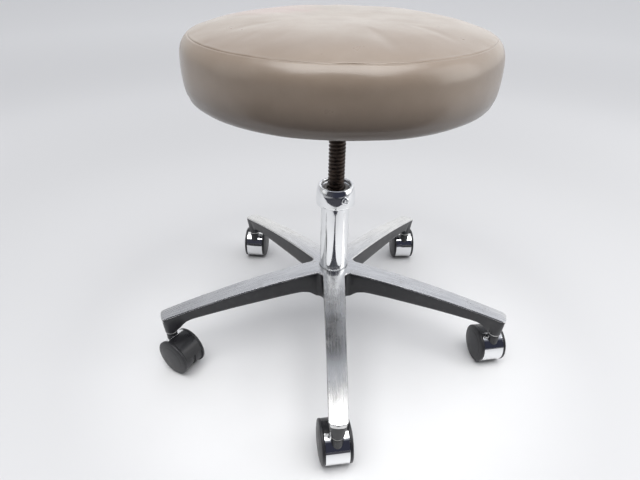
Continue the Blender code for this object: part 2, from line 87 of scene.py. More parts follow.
# Spindle and column
THREAD_PITCH = 0.00508
THREAD_CREST = 0.0111
THREAD_ROOT = 0.0094
SPINDLE_END_RADIUS = 0.006
COLUMN_WALL = 0.0022
BORE_GAP = 0.0003
SCREW_ANGLE = radians(-65)

# Casting
HUB_RADIUS = 0.031
HUB_LOW_Z = COLUMN_LOW_Z - 0.001
LEG_TIP_Z = 0.089
VALLEY_DISTANCE = 0.0401
VALLEY_RADIUS = 0.008
TIP_CORNER = 0.0055
BOSS_RADIUS = 0.0085
BEVEL_INSET = 0.0017
COLUMNS = (-1, -0.88, -0.76, -0.69, -0.45, -0.22, 0, 0.22, 0.45, 0.69, 0.76, 0.88, 1)

# Casters, in each caster's own frame: stem on the Z axis, wheels trailing along +X
HOOD_RADIUS = 0.0268
HOOD_THICKNESS = 0.0012
HOOD_HALF_WIDTH = 0.0143
HOOD_TURN = (radians(106.4), radians(232))
FENDER_TURN = (radians(12), radians(105.8))
NECK_RADIUS = 0.0075
WEB_HALF_WIDTH = 0.0021
WEB_RADIUS = 0.0235
AXLE_RADIUS = 0.0032


# ---- node materials

def add_node(owner, kind, settings=(), **inputs):
    """Adds a node to the owner's tree, with its settings, and values or links for its inputs."""
    tree = owner.id_data
    made = tree.nodes.new("ShaderNode" + kind)
    for key, value in dict(settings).items():
        setattr(made, key, value)
    for key, value in inputs.items():
        socket = made.inputs[int(key[1:]) if key[1:].isdigit() else key.replace("_", " ")]
        if isinstance(value, bpy.types.NodeSocket):
            tree.links.new(value, socket)
        else:
            socket.default_value = value
    return made


def start_material(name, colour, roughness, metallic=0, **values):
    """Principled material with plain values; returns it with its shader."""
    material = bpy.data.materials.new(name)
    material.use_nodes = True
    shader = material.node_tree.nodes["Principled BSDF"]
    values.update(Base_Color=(*colour, 1), Roughness=roughness, Metallic=metallic)
    for key, value in values.items():
        shader.inputs[key.replace("_", " ")].default_value = value
    return material, shader


def drive(shader, name, value):
    """Links a value to one of the shader's inputs."""
    shader.id_data.links.new(value, shader.inputs[name])


def coordinates(owner, scale=(1, 1, 1), source="Object"):
    """Texture coordinates in metres, or the mesh's own UVs, stretched by scale."""
    place = add_node(owner, "TexCoord").outputs[source]
    return add_node(owner, "Mapping", Vector=place, Scale=scale).outputs["Vector"]


def noise_value(vector, scale, detail=3, roughness=0.55):
    """Noise between 0 and 1, with scale in cycles per metre."""
    return add_node(vector, "TexNoise", Vector=vector, Scale=scale, Detail=detail,
                    Roughness=roughness).outputs["Fac"]


def spread(value, low, high, out_low=0, out_high=1, smooth=False):
    """Maps a value from one range to another, and clamps it."""
    kind = "SMOOTHSTEP" if smooth else "LINEAR"
    made = add_node(value, "MapRange", {"interpolation_type": kind}, Value=value,
                    From_Min=low, From_Max=high, To_Min=out_low, To_Max=out_high)
    return made.outputs["Result"]


def arithmetic(operation, first, second):
    """One sum of two values or sockets."""
    return add_node(first, "Math", {"operation": operation}, i0=first, i1=second).outputs[0]


def mixed_colour(share, first, second):
    """Mixes two colours, given as values or sockets."""
    first, second = [(*colour, 1) if isinstance(colour, tuple) else colour
                     for colour in (first, second)]
    made = add_node(share, "Mix", {"data_type": "RGBA"}, i0=share, i6=first, i7=second)
    return made.outputs[2]


def raise_surface(shader, height, distance, strength=1):
    """Drives the shader's normal by a height in units of distance."""
    bump = add_node(shader, "Bump", Height=height, Distance=distance, Strength=strength)
    drive(shader, "Normal", bump.outputs["Normal"])


def vinyl_material():
    """Taupe upholstery vinyl: fine leather grain, faint handling marks, one old stain, and painted
    shade that darkens the band towards the hem.
    """
    material, shader = start_material("taupe_vinyl", (0.265, 0.209, 0.162), 0.34, Coat_Weight=0.5,
                                      Coat_Roughness=0.2, Specular_IOR_Level=0.42)
    plain = coordinates(shader)
    cloud = noise_value(plain, 9, 4)
    blotch = noise_value(plain, 55, 3)
    base = mixed_colour(spread(cloud, 0.35, 0.68), (0.246, 0.193, 0.149), (0.284, 0.225, 0.175))
    base = mixed_colour(spread(blotch, 0.45, 0.75, 0, 0.35), base, (0.3, 0.241, 0.192))
    place = add_node(shader, "TexCoord").outputs["Object"]
    away = add_node(shader, "VectorMath", {"operation": "DISTANCE"}, i0=place,
                    i1=(-0.085, 0.055, CROWN_Z))
    ragged = arithmetic("ADD", away.outputs["Value"], spread(blotch, 0.2, 0.8, -0.02, 0.02))
    stain = spread(ragged, 0.025, 0.07, 0.4, 0, True)
    base = mixed_colour(stain, base, (0.36, 0.2, 0.19))
    height = add_node(shader, "SeparateXYZ", Vector=place).outputs["Z"]
    # Painted shade: the colour darkens over the lowest 4 cm of the band, towards the hem.
    hem_shade = spread(height, HEM_Z, HEM_Z + 0.04, 1, 0, True)
    base = mixed_colour(hem_shade, base, (0.105, 0.082, 0.066))
    drive(shader, "Base Color", base)
    wear = noise_value(plain, 24, 5)
    drive(shader, "Roughness", spread(wear, 0.3, 0.7, 0.27, 0.38))
    cells = add_node(shader, "TexVoronoi", {"feature": "DISTANCE_TO_EDGE"}, Vector=plain,
                     Scale=780)
    pebble = spread(cells.outputs["Distance"], 0, 0.28, smooth=True)
    fine = noise_value(plain, 2300, 2)
    height = arithmetic("ADD", pebble, arithmetic("MULTIPLY", fine, 0.6))
    raise_surface(shader, height, 0.00004, 0.45)
    return material


def chrome_material():
    """Bright chrome plate with faint smears and a few wiped spots."""
    tint = (0.86, 0.87, 0.88)
    material, shader = start_material("chrome", tint, 0.05, 1)
    plain = coordinates(shader)
    smear = noise_value(coordinates(shader, (1, 1, 0.35)), 70, 5)
    drive(shader, "Roughness", spread(smear, 0.42, 0.78, 0.025, 0.13))
    speck = spread(noise_value(plain, 620, 2), 0.7, 0.8, 0, 0.5)
    tone = mixed_colour(speck, tint, (0.42, 0.41, 0.4))
    drive(shader, "Base Color", tone)
    raise_surface(shader, noise_value(plain, 130, 2), 0.00002, 0.25)
    return material


def polished_material():
    """Buffed aluminium with lengthwise scratches, small dark pits and dull patches."""
    tint = (0.8, 0.8, 0.79)
    material, shader = start_material("polished_aluminium", tint, 0.22, 1)
    plain = coordinates(shader)
    hair = noise_value(coordinates(shader, (14, 900, 1), "UV"), 1, 5, 0.7)
    broad = noise_value(coordinates(shader, (22, 160, 1), "UV"), 1, 3)
    patch = noise_value(plain, 26, 4)
    rough = arithmetic("ADD", spread(patch, 0.3, 0.7, 0.2, 0.31),
                       spread(hair, 0.35, 0.75, -0.03, 0.07))
    drive(shader, "Roughness", rough)
    cells = add_node(shader, "TexVoronoi", Vector=plain, Scale=210, Randomness=1)
    pits = spread(cells.outputs["Distance"], 0.07, 0.17, 1, 0, True)
    chosen = spread(noise_value(plain, 48, 2), 0.54, 0.64, 0, 0.9)
    pits = arithmetic("MULTIPLY", pits, chosen)
    stain = spread(noise_value(plain, 75, 6, 0.7), 0.56, 0.76, 0, 0.42)
    tone = mixed_colour(spread(broad, 0.3, 0.7), (0.62, 0.62, 0.62), (0.75, 0.75, 0.745))
    tone = mixed_colour(stain, tone, (0.4, 0.38, 0.34))
    tone = mixed_colour(pits, tone, (0.1, 0.095, 0.085))
    drive(shader, "Base Color", tone)
    height = arithmetic("SUBTRACT", hair, arithmetic("MULTIPLY", pits, 2.5))
    raise_surface(shader, height, 0.00003, 0.5)
    return material


def cloudy_finish(name, colour, roughness, cloud, tones, rough, metallic=0, grain=None):
    """Material with cloudy noise in its colour and roughness, and a fine grain."""
    material, shader = start_material(name, colour, roughness, metallic)
    plain = coordinates(shader)
    value = noise_value(plain, *cloud)
    low, high, share, first, second = tones
    drive(shader, "Base Color", mixed_colour(spread(value, low, high, 0, share), first, second))
    drive(shader, "Roughness", spread(value, 0.3, *rough))
    if grain:
        scale, detail, distance, strength = grain
        raise_surface(shader, noise_value(plain, scale, detail), distance, strength)
    return material


def black_finish(name, colour, roughness, grain, scuff=0.25):
    """Black paint or nylon with a fine texture and pale scuffs."""
    grey = tuple(part + 0.055 for part in colour)
    return cloudy_finish(name, colour, roughness, (85, 5, 0.65), (0.5, 0.8, scuff, colour, grey),
                         (0.75, roughness - 0.06, roughness + 0.12),
                         grain=(grain, 3, 0.00005, 0.35))


def zinc_finish(name, dull, bright):
    """Zinc-plated steel with faint cloudy spangle."""
    return cloudy_finish(name, bright, 0.34, (160, 4), (0.3, 0.7, 1, dull, bright),
                         (0.7, 0.26, 0.42), 1, (1400, 2, 0.00002, 0.3))


def plywood_material():
    """Grey-painted plywood with its long grain showing through."""
    material, shader = start_material("painted_plywood", (0.76, 0.79, 0.85), 0.72)
    long_grain = coordinates(shader, (9, 170, 30))
    grain = noise_value(long_grain, 1, 6, 0.65)
    streak = noise_value(coordinates(shader, (3, 40, 8)), 1, 3)
    tone = mixed_colour(spread(grain, 0.3, 0.7), (0.72, 0.75, 0.81), (0.81, 0.84, 0.91))
    tone = mixed_colour(spread(streak, 0.55, 0.75, 0, 0.5), tone, (0.6, 0.62, 0.66))
    drive(shader, "Base Color", tone)
    drive(shader, "Roughness", spread(grain, 0.3, 0.7, 0.62, 0.82))
    raise_surface(shader, grain, 0.00012, 0.5)
    return material


VINYL = vinyl_material()
CHROME = chrome_material()
POLISHED = polished_material()
SIDE_BLACK = black_finish("casting_black", (0.017, 0.017, 0.02), 0.36, 500, 0.35)
PLATE_BLACK = black_finish("plate_black", (0.022, 0.022, 0.024), 0.42, 900)
WHEEL_BLACK = black_finish("wheel_black", (0.016, 0.016, 0.019), 0.4, 650, 0.45)
BODY_BLACK = black_finish("body_black", (0.013, 0.013, 0.015), 0.3, 420)
THREAD = cloudy_finish("oiled_thread", (0.07, 0.055, 0.045), 0.36, (190, 5),
                       (0.35, 0.7, 1, (0.036, 0.028, 0.024), (0.088, 0.062, 0.048)),
                       (0.7, 0.26, 0.5), 0.85, (900, 2, 0.00004, 0.4))
ZINC = zinc_finish("zinc_plate", (0.5, 0.5, 0.47), (0.7, 0.7, 0.69))
OILED_ZINC = zinc_finish("oiled_zinc", (0.05, 0.045, 0.04), (0.2, 0.185, 0.17))
PLYWOOD = plywood_material()
WHITE_NYLON = cloudy_finish("white_nylon", (0.7, 0.69, 0.63), 0.45, (150, 4),
                            (0.4, 0.75, 0.6, (0.72, 0.71, 0.65), (0.48, 0.44, 0.36)),
                            (0.7, 0.36, 0.55))


# ---- mesh helpers

def as_mesh(bm, name):
    """Mesh of a bmesh, which is freed."""
    mesh = bpy.data.meshes.new(name)
    bm.to_mesh(mesh)
    bm.free()
    return mesh


def facing_out(bm, name):
    """Mesh of a bmesh, with its faces turned outwards."""
    bmesh.ops.recalc_face_normals(bm, faces=bm.faces)
    return as_mesh(bm, name)


def add_object(name, data):
    """Adds an object to the scene."""
    made = bpy.data.objects.new(name, data)
    bpy.context.scene.collection.objects.link(made)
    return made


def finished(name, bm, materials, body, replaced=(), sharp=None):
    """Turns a bmesh into a piece that rides on a CAD body."""
    return placed(name, facing_out(bm, name), materials, body, replaced, sharp)


def placed(name, mesh, materials, body, replaced=(), sharp=None, matrix=None):
    """Adds a piece that shows a mesh and rides on a CAD body."""
    if not mesh.materials:
        for material in materials:
            mesh.materials.append(material)
    mesh.shade_smooth()
    if sharp is not None:
        mesh.set_sharp_from_angle(angle=radians(sharp))
    piece = add_object(name, mesh)
    if matrix is not None:
        piece.matrix_world = matrix
        bpy.context.view_layer.update()
    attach(piece, body)
    if replaced:
        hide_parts(*replaced)
    return piece


def baked_mesh(bm, name, materials, cutters=(), unions=()):
    """Mesh of a bmesh after exact booleans with other bmeshes."""
    scratch = []
    for each in (bm, *cutters, *unions):
        mesh = facing_out(each, name)
        for material in materials:
            mesh.materials.append(material)
        scratch.append(add_object(f"{name}_scratch", mesh))
    target, tools = scratch[0], scratch[1:]
    for index, tool in enumerate(tools):
        modifier = target.modifiers.new("cut", "BOOLEAN")
        modifier.operation = "DIFFERENCE" if index < len(cutters) else "UNION"
        modifier.solver = "EXACT"
        modifier.object = tool
    result = evaluated_mesh(target)
    for each in scratch:
        bpy.data.objects.remove(each, do_unlink=True)
    return result


def evaluated_mesh(piece):
    """Copy of an object's mesh with its modifiers applied."""
    graph = bpy.context.evaluated_depsgraph_get()
    graph.update()
    return bpy.data.meshes.new_from_object(piece.evaluated_get(graph), depsgraph=graph)


def skin(bm, first, second, material=0):
    """Faces between two rings of the same length, or between a ring and a single point."""
    count = max(len(first), len(second))
    if count == 1:
        return
    for index in range(count):
        following = (index + 1) % count
        corners = [first[index % len(first)], first[following % len(first)],
                   second[following % len(second)], second[index % len(second)]]
        unique = list(dict.fromkeys(corners))
        bm.faces.new(unique).material_index = material


def skin_all(bm, rings):
    """Faces between each two rings that follow one another."""
    for first, second in zip(rings, rings[1:]):
        skin(bm, first, second)


def polar(radius, angle, height=0):
    """Point at a radius and an angle about the Z axis."""
    return Vector((radius * cos(angle), radius * sin(angle), height))


def circle(steps):
    """Angles of equal steps round a full turn."""
    return [2 * pi * step / steps for step in range(steps)]


def drill_at(node, radius, low, high):
    """Cylinder along Z through the middle of a CAD node, to cut with."""
    drill = turned([(0, low), (radius, low), (radius, high), (0, high)], 32)
    return transformed(drill, over(node))


def centre_of(node):
    """Middle of a CAD node's box."""
    low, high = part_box(node)
    return (low + high) / 2


def transformed(bm, matrix):
    """Moves a bmesh by a matrix and returns it."""
    bmesh.ops.transform(bm, matrix=matrix, verts=bm.verts)
    return bm


def over(node):
    """Matrix that moves sideways to the middle of a CAD node."""
    return Matrix.Translation((*centre_of(node).xy, 0))


def soften(piece, width, segments):
    """Rounds a piece's sharp edges."""
    bevel = piece.modifiers.new("edges", "BEVEL")
    bevel.width = width
    bevel.segments = segments
    bevel.angle_limit = radians(40)


def turned(outline, steps, closed=True, warp=None):
    """Solid of revolution of (radius, height) points; a radius of 0 is one point."""
    bm = bmesh.new()
    rings = []
    for radius, height in outline:
        if radius < 1e-7:
            rings.append([bm.verts.new((0, 0, height))])
            continue
        points = [polar(radius, angle, height) for angle in circle(steps)]
        rings.append([bm.verts.new(warp(point) if warp else point) for point in points])
    skin_all(bm, rings)
    if closed:
        skin(bm, rings[-1], rings[0])
    return bm


def rounded(points, steps=4):
    """Closed outline with arcs in place of the corners given as (x, y, radius)."""
    result = []
    count = len(points)
    for index, (x, y, radius) in enumerate(points):
        corner = Vector((x, y))
        if radius == 0:
            result.append((x, y))
            continue
        before, after = [Vector(points[other % count][:2]) - corner
                         for other in (index - 1, index + 1)]
        half = before.angle(after) / 2
        reach = min(radius / tan(half), 0.48 * before.length, 0.48 * after.length)
        radius = reach * tan(half)
        centre = corner + (before.normalized() + after.normalized()).normalized() * (
            radius / sin(half))
        start = corner + before.normalized() * reach - centre
        finish = corner + after.normalized() * reach - centre
        total = start.angle_signed(finish)
        for step in range(steps + 1):
            arm = Matrix.Rotation(-total * step / steps, 2) @ start
            result.append(tuple(centre + arm))
    return result


def smooth_curve(points, steps):
    """Catmull-Rom curve through points, with the given steps between each two."""
    vectors = [Vector(point) for point in points]
    padded = [2 * vectors[0] - vectors[1], *vectors, 2 * vectors[-1] - vectors[-2]]
    result = [vectors[0]]
    for p0, p1, p2, p3 in zip(padded, padded[1:], padded[2:], padded[3:]):
        for step in range(1, steps + 1):
            t = step / steps
            result.append(0.5 * (2 * p1 + (p2 - p0) * t + (2 * p0 - 5 * p1 + 4 * p2 - p3) * t ** 2
                                 + (3 * p1 - p0 - 3 * p2 + p3) * t ** 3))
    return result


def smoothstep(low, high, value):
    """Goes from 0 at low to 1 at high."""
    share = min(max((value - low) / (high - low), 0), 1)
    return share * share * (3 - 2 * share)


def bell(distance, width):
    """Bump of height 1 at 0 that fades over width."""
    return exp(-(distance / width) ** 2)


# ---- seat

def resample(curve, distances):
    """Points at given distances along a polyline."""
    result = []
    lengths = [(second - first).length for first, second in zip(curve, curve[1:])]
    for wanted in distances:
        left = wanted
        for index, length in enumerate(lengths):
            if left <= length or index == len(lengths) - 1:
                share = min(left / length, 1)
                result.append(curve[index].lerp(curve[index + 1], share))
                break
            left -= length
    return result


def crown_curve():
    """Half section of the top panel from its centre to the seam."""
    top = CROWN_Z - CROWN_DROP
    rise = top - SEAM_Z
    curve = [Vector((0, top)), Vector((CROWN_FLAT, top))]
    for step in range(1, 31):
        share = step / 30
        radius = CROWN_FLAT + share * (SEAM_RADIUS - CROWN_FLAT)
        curve.append(Vector((radius, top - rise * share ** CROWN_POWER)))
    return curve


def band_curve():
    """Half section of the side band from the seam to the hem under the board."""
    drop = SEAM_Z - HEM_Z
    shares = ((SEAM_RADIUS, 0), (0.1755, 0.082), (0.1796, 0.215), (SEAT_RADIUS, 0.42),
              (0.1806, 0.63), (0.1792, 0.81), (0.1752, 0.944), (0.169, 1),
              (0.156, 1), (HEM_RADIUS, 1))
    return smooth_curve([(radius, SEAM_Z - drop * share) for radius, share in shares], 8)


def cover_rings():
    """Rings of the stuffed cover as (radius, height, distance past the seam, pinned)."""
    crown, band = crown_curve(), band_curve()
    crown_length, band_length = [sum((b - a).length for a, b in zip(curve, curve[1:]))
                                 for curve in (crown, band)]
    near = [part * MM for part in SEAM_RINGS]
    coarse = [2 * MM] + [crown_length * (step / 26) for step in range(1, 26)]
    stops = [stop for stop in coarse if stop < crown_length - 10 * MM]
    stops += [crown_length - part for part in reversed(near)]
    rings = [(point.x, point.y, stop - crown_length, False)
             for point, stop in zip(resample(crown, stops), stops)]
    rings.append((SEAM_RADIUS, SEAM_Z, 0, True))
    count = 34
    coarse = [10 * MM + (band_length - 10 * MM) * step / count for step in range(count + 1)]
    stops = near + coarse
    rings += [(point.x, point.y, stop, point.y < HEM_Z + 0.2 * MM and point.x < BOARD_RADIUS)
              for point, stop in zip(resample(band, stops), stops)]
    shelf = BOARD_LOW_Z - 0.8 * MM
    wall = BOARD_RADIUS + 0.6 * MM
    inside = [(HEM_RADIUS, shelf), (wall, shelf), (wall, BOARD_TOP_Z + 0.6 * MM),
              (HEM_RADIUS, BOARD_TOP_Z + 0.6 * MM), (0.07, BOARD_TOP_Z + 0.6 * MM)]
    rings += [(radius, height, 1, True) for radius, height in inside]
    return rings


def shrink(rings):
    """Moves the free rings inwards, so that the swelling cover ends on its real outline."""
    result = []
    for index, (radius, height, past, pinned) in enumerate(rings):
        if pinned:
            result.append((radius, height))
            continue
        before = rings[max(index - 1, 0)]
        after = rings[index + 1]
        along = Vector((after[0] - before[0], after[1] - before[1])).normalized()
        room = STUFFING_ROOM * smoothstep(0, 0.02, abs(past))
        result.append((radius + along.y * room, height - along.x * room))
    return result


def cover_start(rings):
    """Mesh of the cover before it is stuffed, and the ring number of each vertex."""
    outline = [(0, CROWN_Z - CROWN_DROP - STUFFING_ROOM), *shrink(rings),
               (0, BOARD_TOP_Z + 0.6 * MM)]
    mesh = facing_out(turned(outline, SEAT_STEPS, closed=False), "seat_cover")
    owner = [-1] + [index for index in range(len(rings)) for _ in range(SEAT_STEPS)] + [-2]
    return mesh, owner


def uneven(point, pitch, seed):
    """Smooth unevenness between about -1 and 1, with its own pattern for each seed."""
    return 2 * noise.noise(Vector(point) / pitch + Vector((seed * 7.3, seed * 3.1, seed * 5.7)))


def settle(mesh, owner, rings):
    """Brings each ring's mean radius and height back to the cover's real outline."""
    members = [[] for _ in rings]
    for vertex in mesh.vertices:
        if owner[vertex.index] >= 0:
            members[owner[vertex.index]].append(vertex)
    for (radius, height, _, pinned), ring in zip(rings, members):
        if pinned:
            continue
        mean_radius = sum(vertex.co.xy.length for vertex in ring) / len(ring)
        mean_height = sum(vertex.co.z for vertex in ring) / len(ring)
        for vertex in ring:
            outward = vertex.co.xy.normalized() * (radius - mean_radius)
            vertex.co += Vector((outward.x, outward.y, height - mean_height))


def stuff(mesh, owner, rings):
    """Swells the cover by a cloth simulation between its pinned seam and hem."""
    quick_room = 0
    normals = [vertex.normal.copy() for vertex in mesh.vertices]
    for vertex, normal, number in zip(mesh.vertices, normals, owner):
        if number == -1 or (number >= 0 and not rings[number][3]):
            past = abs(rings[number][2]) if number >= 0 else 1
            room = 0.35 * MM * uneven(vertex.co, 0.045, 1)
            vertex.co += normal * (room + quick_room * smoothstep(0, 0.02, past))
    piece = add_object("seat_cover_cloth", mesh)
    held = piece.vertex_groups.new(name="held")
    held.add([i for i, number in enumerate(owner) if number == -2
              or (number >= 0 and rings[number][3])], 1, "REPLACE")
    cloth = piece.modifiers.new("stuffing", "CLOTH")
    for key, value in CLOTH_SETTINGS.items():
        setattr(cloth.settings, key, value)
    cloth.settings.effector_weights.gravity = 0
    cloth.collision_settings.use_collision = False
    cloth.point_cache.frame_end = CLOTH_FRAMES
    for step in range(CLOTH_FRAMES):
        bpy.context.scene.frame_set(step + 1)
    swollen = evaluated_mesh(piece)
    for before, after in zip(mesh.vertices, swollen.vertices):
        move = after.co - before.co
        if move.length > SWELL_LIMIT:
            after.co = before.co + move * (SWELL_LIMIT / move.length)
    settle(swollen, owner, rings)
    bpy.data.objects.remove(piece, do_unlink=True)
    bpy.context.scene.frame_set(1)
    return swollen


def shape_vinyl(mesh, owner, rings):
    """Presses the sewn seam, dents, the crease over the board and the hem's tucks."""
    moves = []
    for vertex in mesh.vertices:
        number = owner[vertex.index]
        if number < 0 or rings[number][3] and rings[number][2] != 0:
            if number >= 0 and rings[number][0] > HEM_RADIUS and rings[number][2] < 0.5:
                angle = atan2(vertex.co.y, vertex.co.x)
                tuck = abs(sin(26 * angle + 1.3 * uneven(vertex.co, 0.03, 6)))
                moves.append((vertex, Vector((0, 0, 1)), -0.5 * MM * tuck ** 3 + 0.2 * MM))
            continue
        past = rings[number][2] / MM
        around = polar(0.17, atan2(vertex.co.y, vertex.co.x))
        groove = -0.75 * MM * bell(past, 0.55)
        lip = (0.22 + 0.12 * uneven(around, 0.012, 2)) * MM * bell(abs(past) - 2, 1.1)
        pull = 0.16 * MM * uneven(around, 0.01, 3) * bell(past, 9) * (1 - bell(past, 2))
        dents = 0.2 * MM * uneven(vertex.co, 0.045, 4) * smoothstep(4, 16, abs(past))
        dents += 0.07 * MM * uneven(vertex.co, 0.016, 5) * smoothstep(4, 16, past)
        height = vertex.co.z - HEM_Z
        depth = 0.55 + 0.45 * uneven(around, 0.075, 7)
        wander = 9.5 * MM + 2 * MM * uneven(around, 0.06, 8)
        crease = 0.5 * bell(height - wander + 4.5 * MM, 2.6 * MM)
        crease = MM * depth * (crease - 0.7 * bell(height - wander, 2.2 * MM)) * (past > 20)
        moves.append((vertex, vertex.normal.copy(), groove + lip + pull + dents + crease))
    for vertex, direction, distance in moves:
        vertex.co += direction * distance


def subdivided(mesh):
    """Smooth subdivision of the cover, without the two many-sided points at its centre."""
    bm = bmesh.new()
    bm.from_mesh(mesh)
    bm.verts.ensure_lookup_table()
    bmesh.ops.delete(bm, geom=[bm.verts[0], bm.verts[-1]], context="VERTS")
    bm.to_mesh(mesh)
    bm.free()
    scratch = add_object("seat_cover_scratch", mesh)
    scratch.modifiers.new("finer", "SUBSURF").levels = 1
    fine = evaluated_mesh(scratch)
    bpy.data.objects.remove(scratch, do_unlink=True)
    bm = bmesh.new()
    bm.from_mesh(fine)
    rims = [edge for edge in bm.edges if edge.is_boundary]
    for above in (True, False):
        rim = [edge for edge in rims if (edge.verts[0].co.z > SEAM_Z) == above]
        corners = {vertex for edge in rim for vertex in edge.verts}
        centre = bm.verts.new(sum((vertex.co for vertex in corners), Vector()) / len(corners))
        for edge in rim:
            bm.faces.new((*edge.verts, centre))
    return bm


def build_seat_cover():
    """Stuffed vinyl cover: crowned top panel, seam, side band and tucked hem."""
    rings = cover_rings()
    mesh, owner = cover_start(rings)
    mesh = stuff(mesh, owner, rings)
    shape_vinyl(mesh, owner, rings)
    finished("seat_upholstery", subdivided(mesh), [VINYL], "seat",
             ("cover_top", "cover_band", "foam_pad"))


def rod(bm, path, radius, steps=6):
    """Bent wire along a path of points."""
    rings = []
    for index, point in enumerate(path):
        along = path[min(index + 1, len(path) - 1)] - path[max(index - 1, 0)]
        frame_of = along.to_track_quat("Z", "Y").to_matrix()
        rings.append([bm.verts.new(point + frame_of @ polar(radius, angle))
                      for angle in circle(steps)])
    skin_all(bm, rings)
    bm.faces.new(rings[0])
    bm.faces.new(rings[-1])


def build_staples():
    """Ring of wire staples that hold the hem to the board."""
    bm = bmesh.new()
    count = 34
    for index in range(count):
        angle = 2 * pi * index / count + 0.05 * sin(index * 2.7)
        centre = polar(HEM_RADIUS + 5 * MM, angle)
        side = polar(MM, angle + pi / 2 + 0.35 * sin(index * 4.1))
        under = centre + Vector((0, 0, HEM_Z - 0.45 * MM))
        over = centre + Vector((0, 0, HEM_Z + 0.9 * MM))
        rod(bm, [over + side * 5, under + side * 4.9, under, under - side * 4.9,
                 over - side * 5], 0.4 * MM)
    finished("hem_staples", bm, [ZINC], "seat", sharp=50)


def cross_screw(head_radius, head_height, shank_radius, shank_length):
    """Pan-head screw along +Z: its head's underside is at 0 and it has a cross recess."""

    def recess(point):
        """Sinks the cross recess into the domed head."""
        arm, reach = sorted((abs(point.x) / head_radius, abs(point.y) / head_radius))
        sunk = (1 - smoothstep(0.1, 0.19, arm)) * (1 - smoothstep(0.44, 0.6, reach))
        return point - Vector((0, 0, 0.55 * head_height * sunk if point.z > 0 else 0))

    shares = [ring / 14 for ring in range(1, 15)]
    dome = [(head_radius * share, head_height * (0.42 + 0.58 * sqrt(1 - share ** 3.2)))
            for share in shares]
    lower = [(head_radius, 0.12 * head_height), (head_radius * 0.97, 0), (shank_radius, 0),
             (shank_radius, -shank_length), (0, -shank_length)]
    return turned([(0, 0.45 * head_height), *dome, *lower], 48, False, recess)


def build_seat_plate():
    """Pressed mounting plate with rolled edges, and its four cross-recess screws."""
    low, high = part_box("seat_plate")
    corner = 14 * MM
    insets = [(1.1 * MM, low.z), (0.5 * MM, low.z + 0.12 * MM), (0.15 * MM, low.z + 0.45 * MM),
              (0, low.z + MM), (0, high.z - 0.5 * MM), (0.4 * MM, high.z)]
    bm = bmesh.new()
    rows = []
    for inset, height in insets:
        row = []
        for quarter, (x, y) in enumerate(((1, 1), (-1, 1), (-1, -1), (1, -1))):
            middle = Vector((x, y, 0)) * (high.x - corner)
            for step in range(9):
                angle = pi / 2 * (quarter + step / 8)
                row.append(bm.verts.new(middle + polar(corner - inset, angle, height)))
        rows.append(row)
    skin_all(bm, rows)
    bm.faces.new(rows[0])
    bm.faces.new(rows[-1])
    screws = [f"seat_screw_{number}" for number in range(1, 5)]
    drills = [drill_at(node, 3.4 * MM, low.z - MM, high.z + MM) for node in screws]
    mesh = baked_mesh(bm, "seat_plate_pressed", [PLATE_BLACK], drills)
    placed("seat_plate_pressed", mesh, [PLATE_BLACK], "seat", ("seat_plate",), 35)
    for number, node in enumerate(screws, 1):
        screw = cross_screw(5.6 * MM, 3.6 * MM, 3 * MM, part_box(node)[1].z - low.z)
        place = Matrix.Rotation(pi, 4, "X") @ Matrix.Rotation(number * 0.8, 4, "Z")
        place.translation = (*centre_of(node).xy, low.z - BORE_GAP)
        finished(f"plate_screw_{number}", transformed(screw, place), [ZINC], "seat",
                 (node,), 45)


# ---- spindle and column

def build_spindle():
    """Threaded spindle with its plain end, welded flange and bead."""
    shoulder = GUIDE_TOP_Z + BORE_GAP
    thread_low = shoulder + 4 * MM
    thread_high = SPINDLE_TOP_Z - 12 * MM

    def crests(point):
        """Raises the thread's flat crests, which fade out at its ends."""
        phase = (point.z / THREAD_PITCH - atan2(point.y, point.x) / (2 * pi)) % 1
        rise = smoothstep(0.14, 0.36, phase) * (1 - smoothstep(0.64, 0.86, phase))
        rise *= smoothstep(thread_low, thread_low + 4 * MM, point.z)
        rise *= 1 - smoothstep(thread_high - 4 * MM, thread_high, point.z)
        growth = 1 + (THREAD_CREST / THREAD_ROOT - 1) * rise
        return Vector((point.x * growth, point.y * growth, point.z))

    plain = [(0, SPINDLE_LOW_Z), (SPINDLE_END_RADIUS, SPINDLE_LOW_Z),
             (SPINDLE_END_RADIUS, shoulder), (THREAD_CREST - 0.8 * MM, shoulder),
             (THREAD_CREST, shoulder + 0.8 * MM), (THREAD_CREST, thread_low - 1.2 * MM)]
    count = round((thread_high - thread_low) / (THREAD_PITCH / 16))
    thread = [(THREAD_ROOT, thread_low + (thread_high - thread_low) * index / count)
              for index in range(count + 1)]
    bead = [(THREAD_CREST, thread_high + 1.2 * MM)]
    bead += [(radius, SPINDLE_TOP_Z - below * MM) for radius, below in (
        (THREAD_CREST, 7.4), (0.0125, 6.6), (0.0141, 5), (0.0146, 3.6), (0.016, 3),
        (FLANGE_RADIUS - 0.7 * MM, 3), (FLANGE_RADIUS, 2.4), (FLANGE_RADIUS, 0), (0, 0))]
    finished("threaded_spindle", turned(plain + thread + bead, 40, False, crests), [THREAD],
             "seat", ("spindle",), 40)


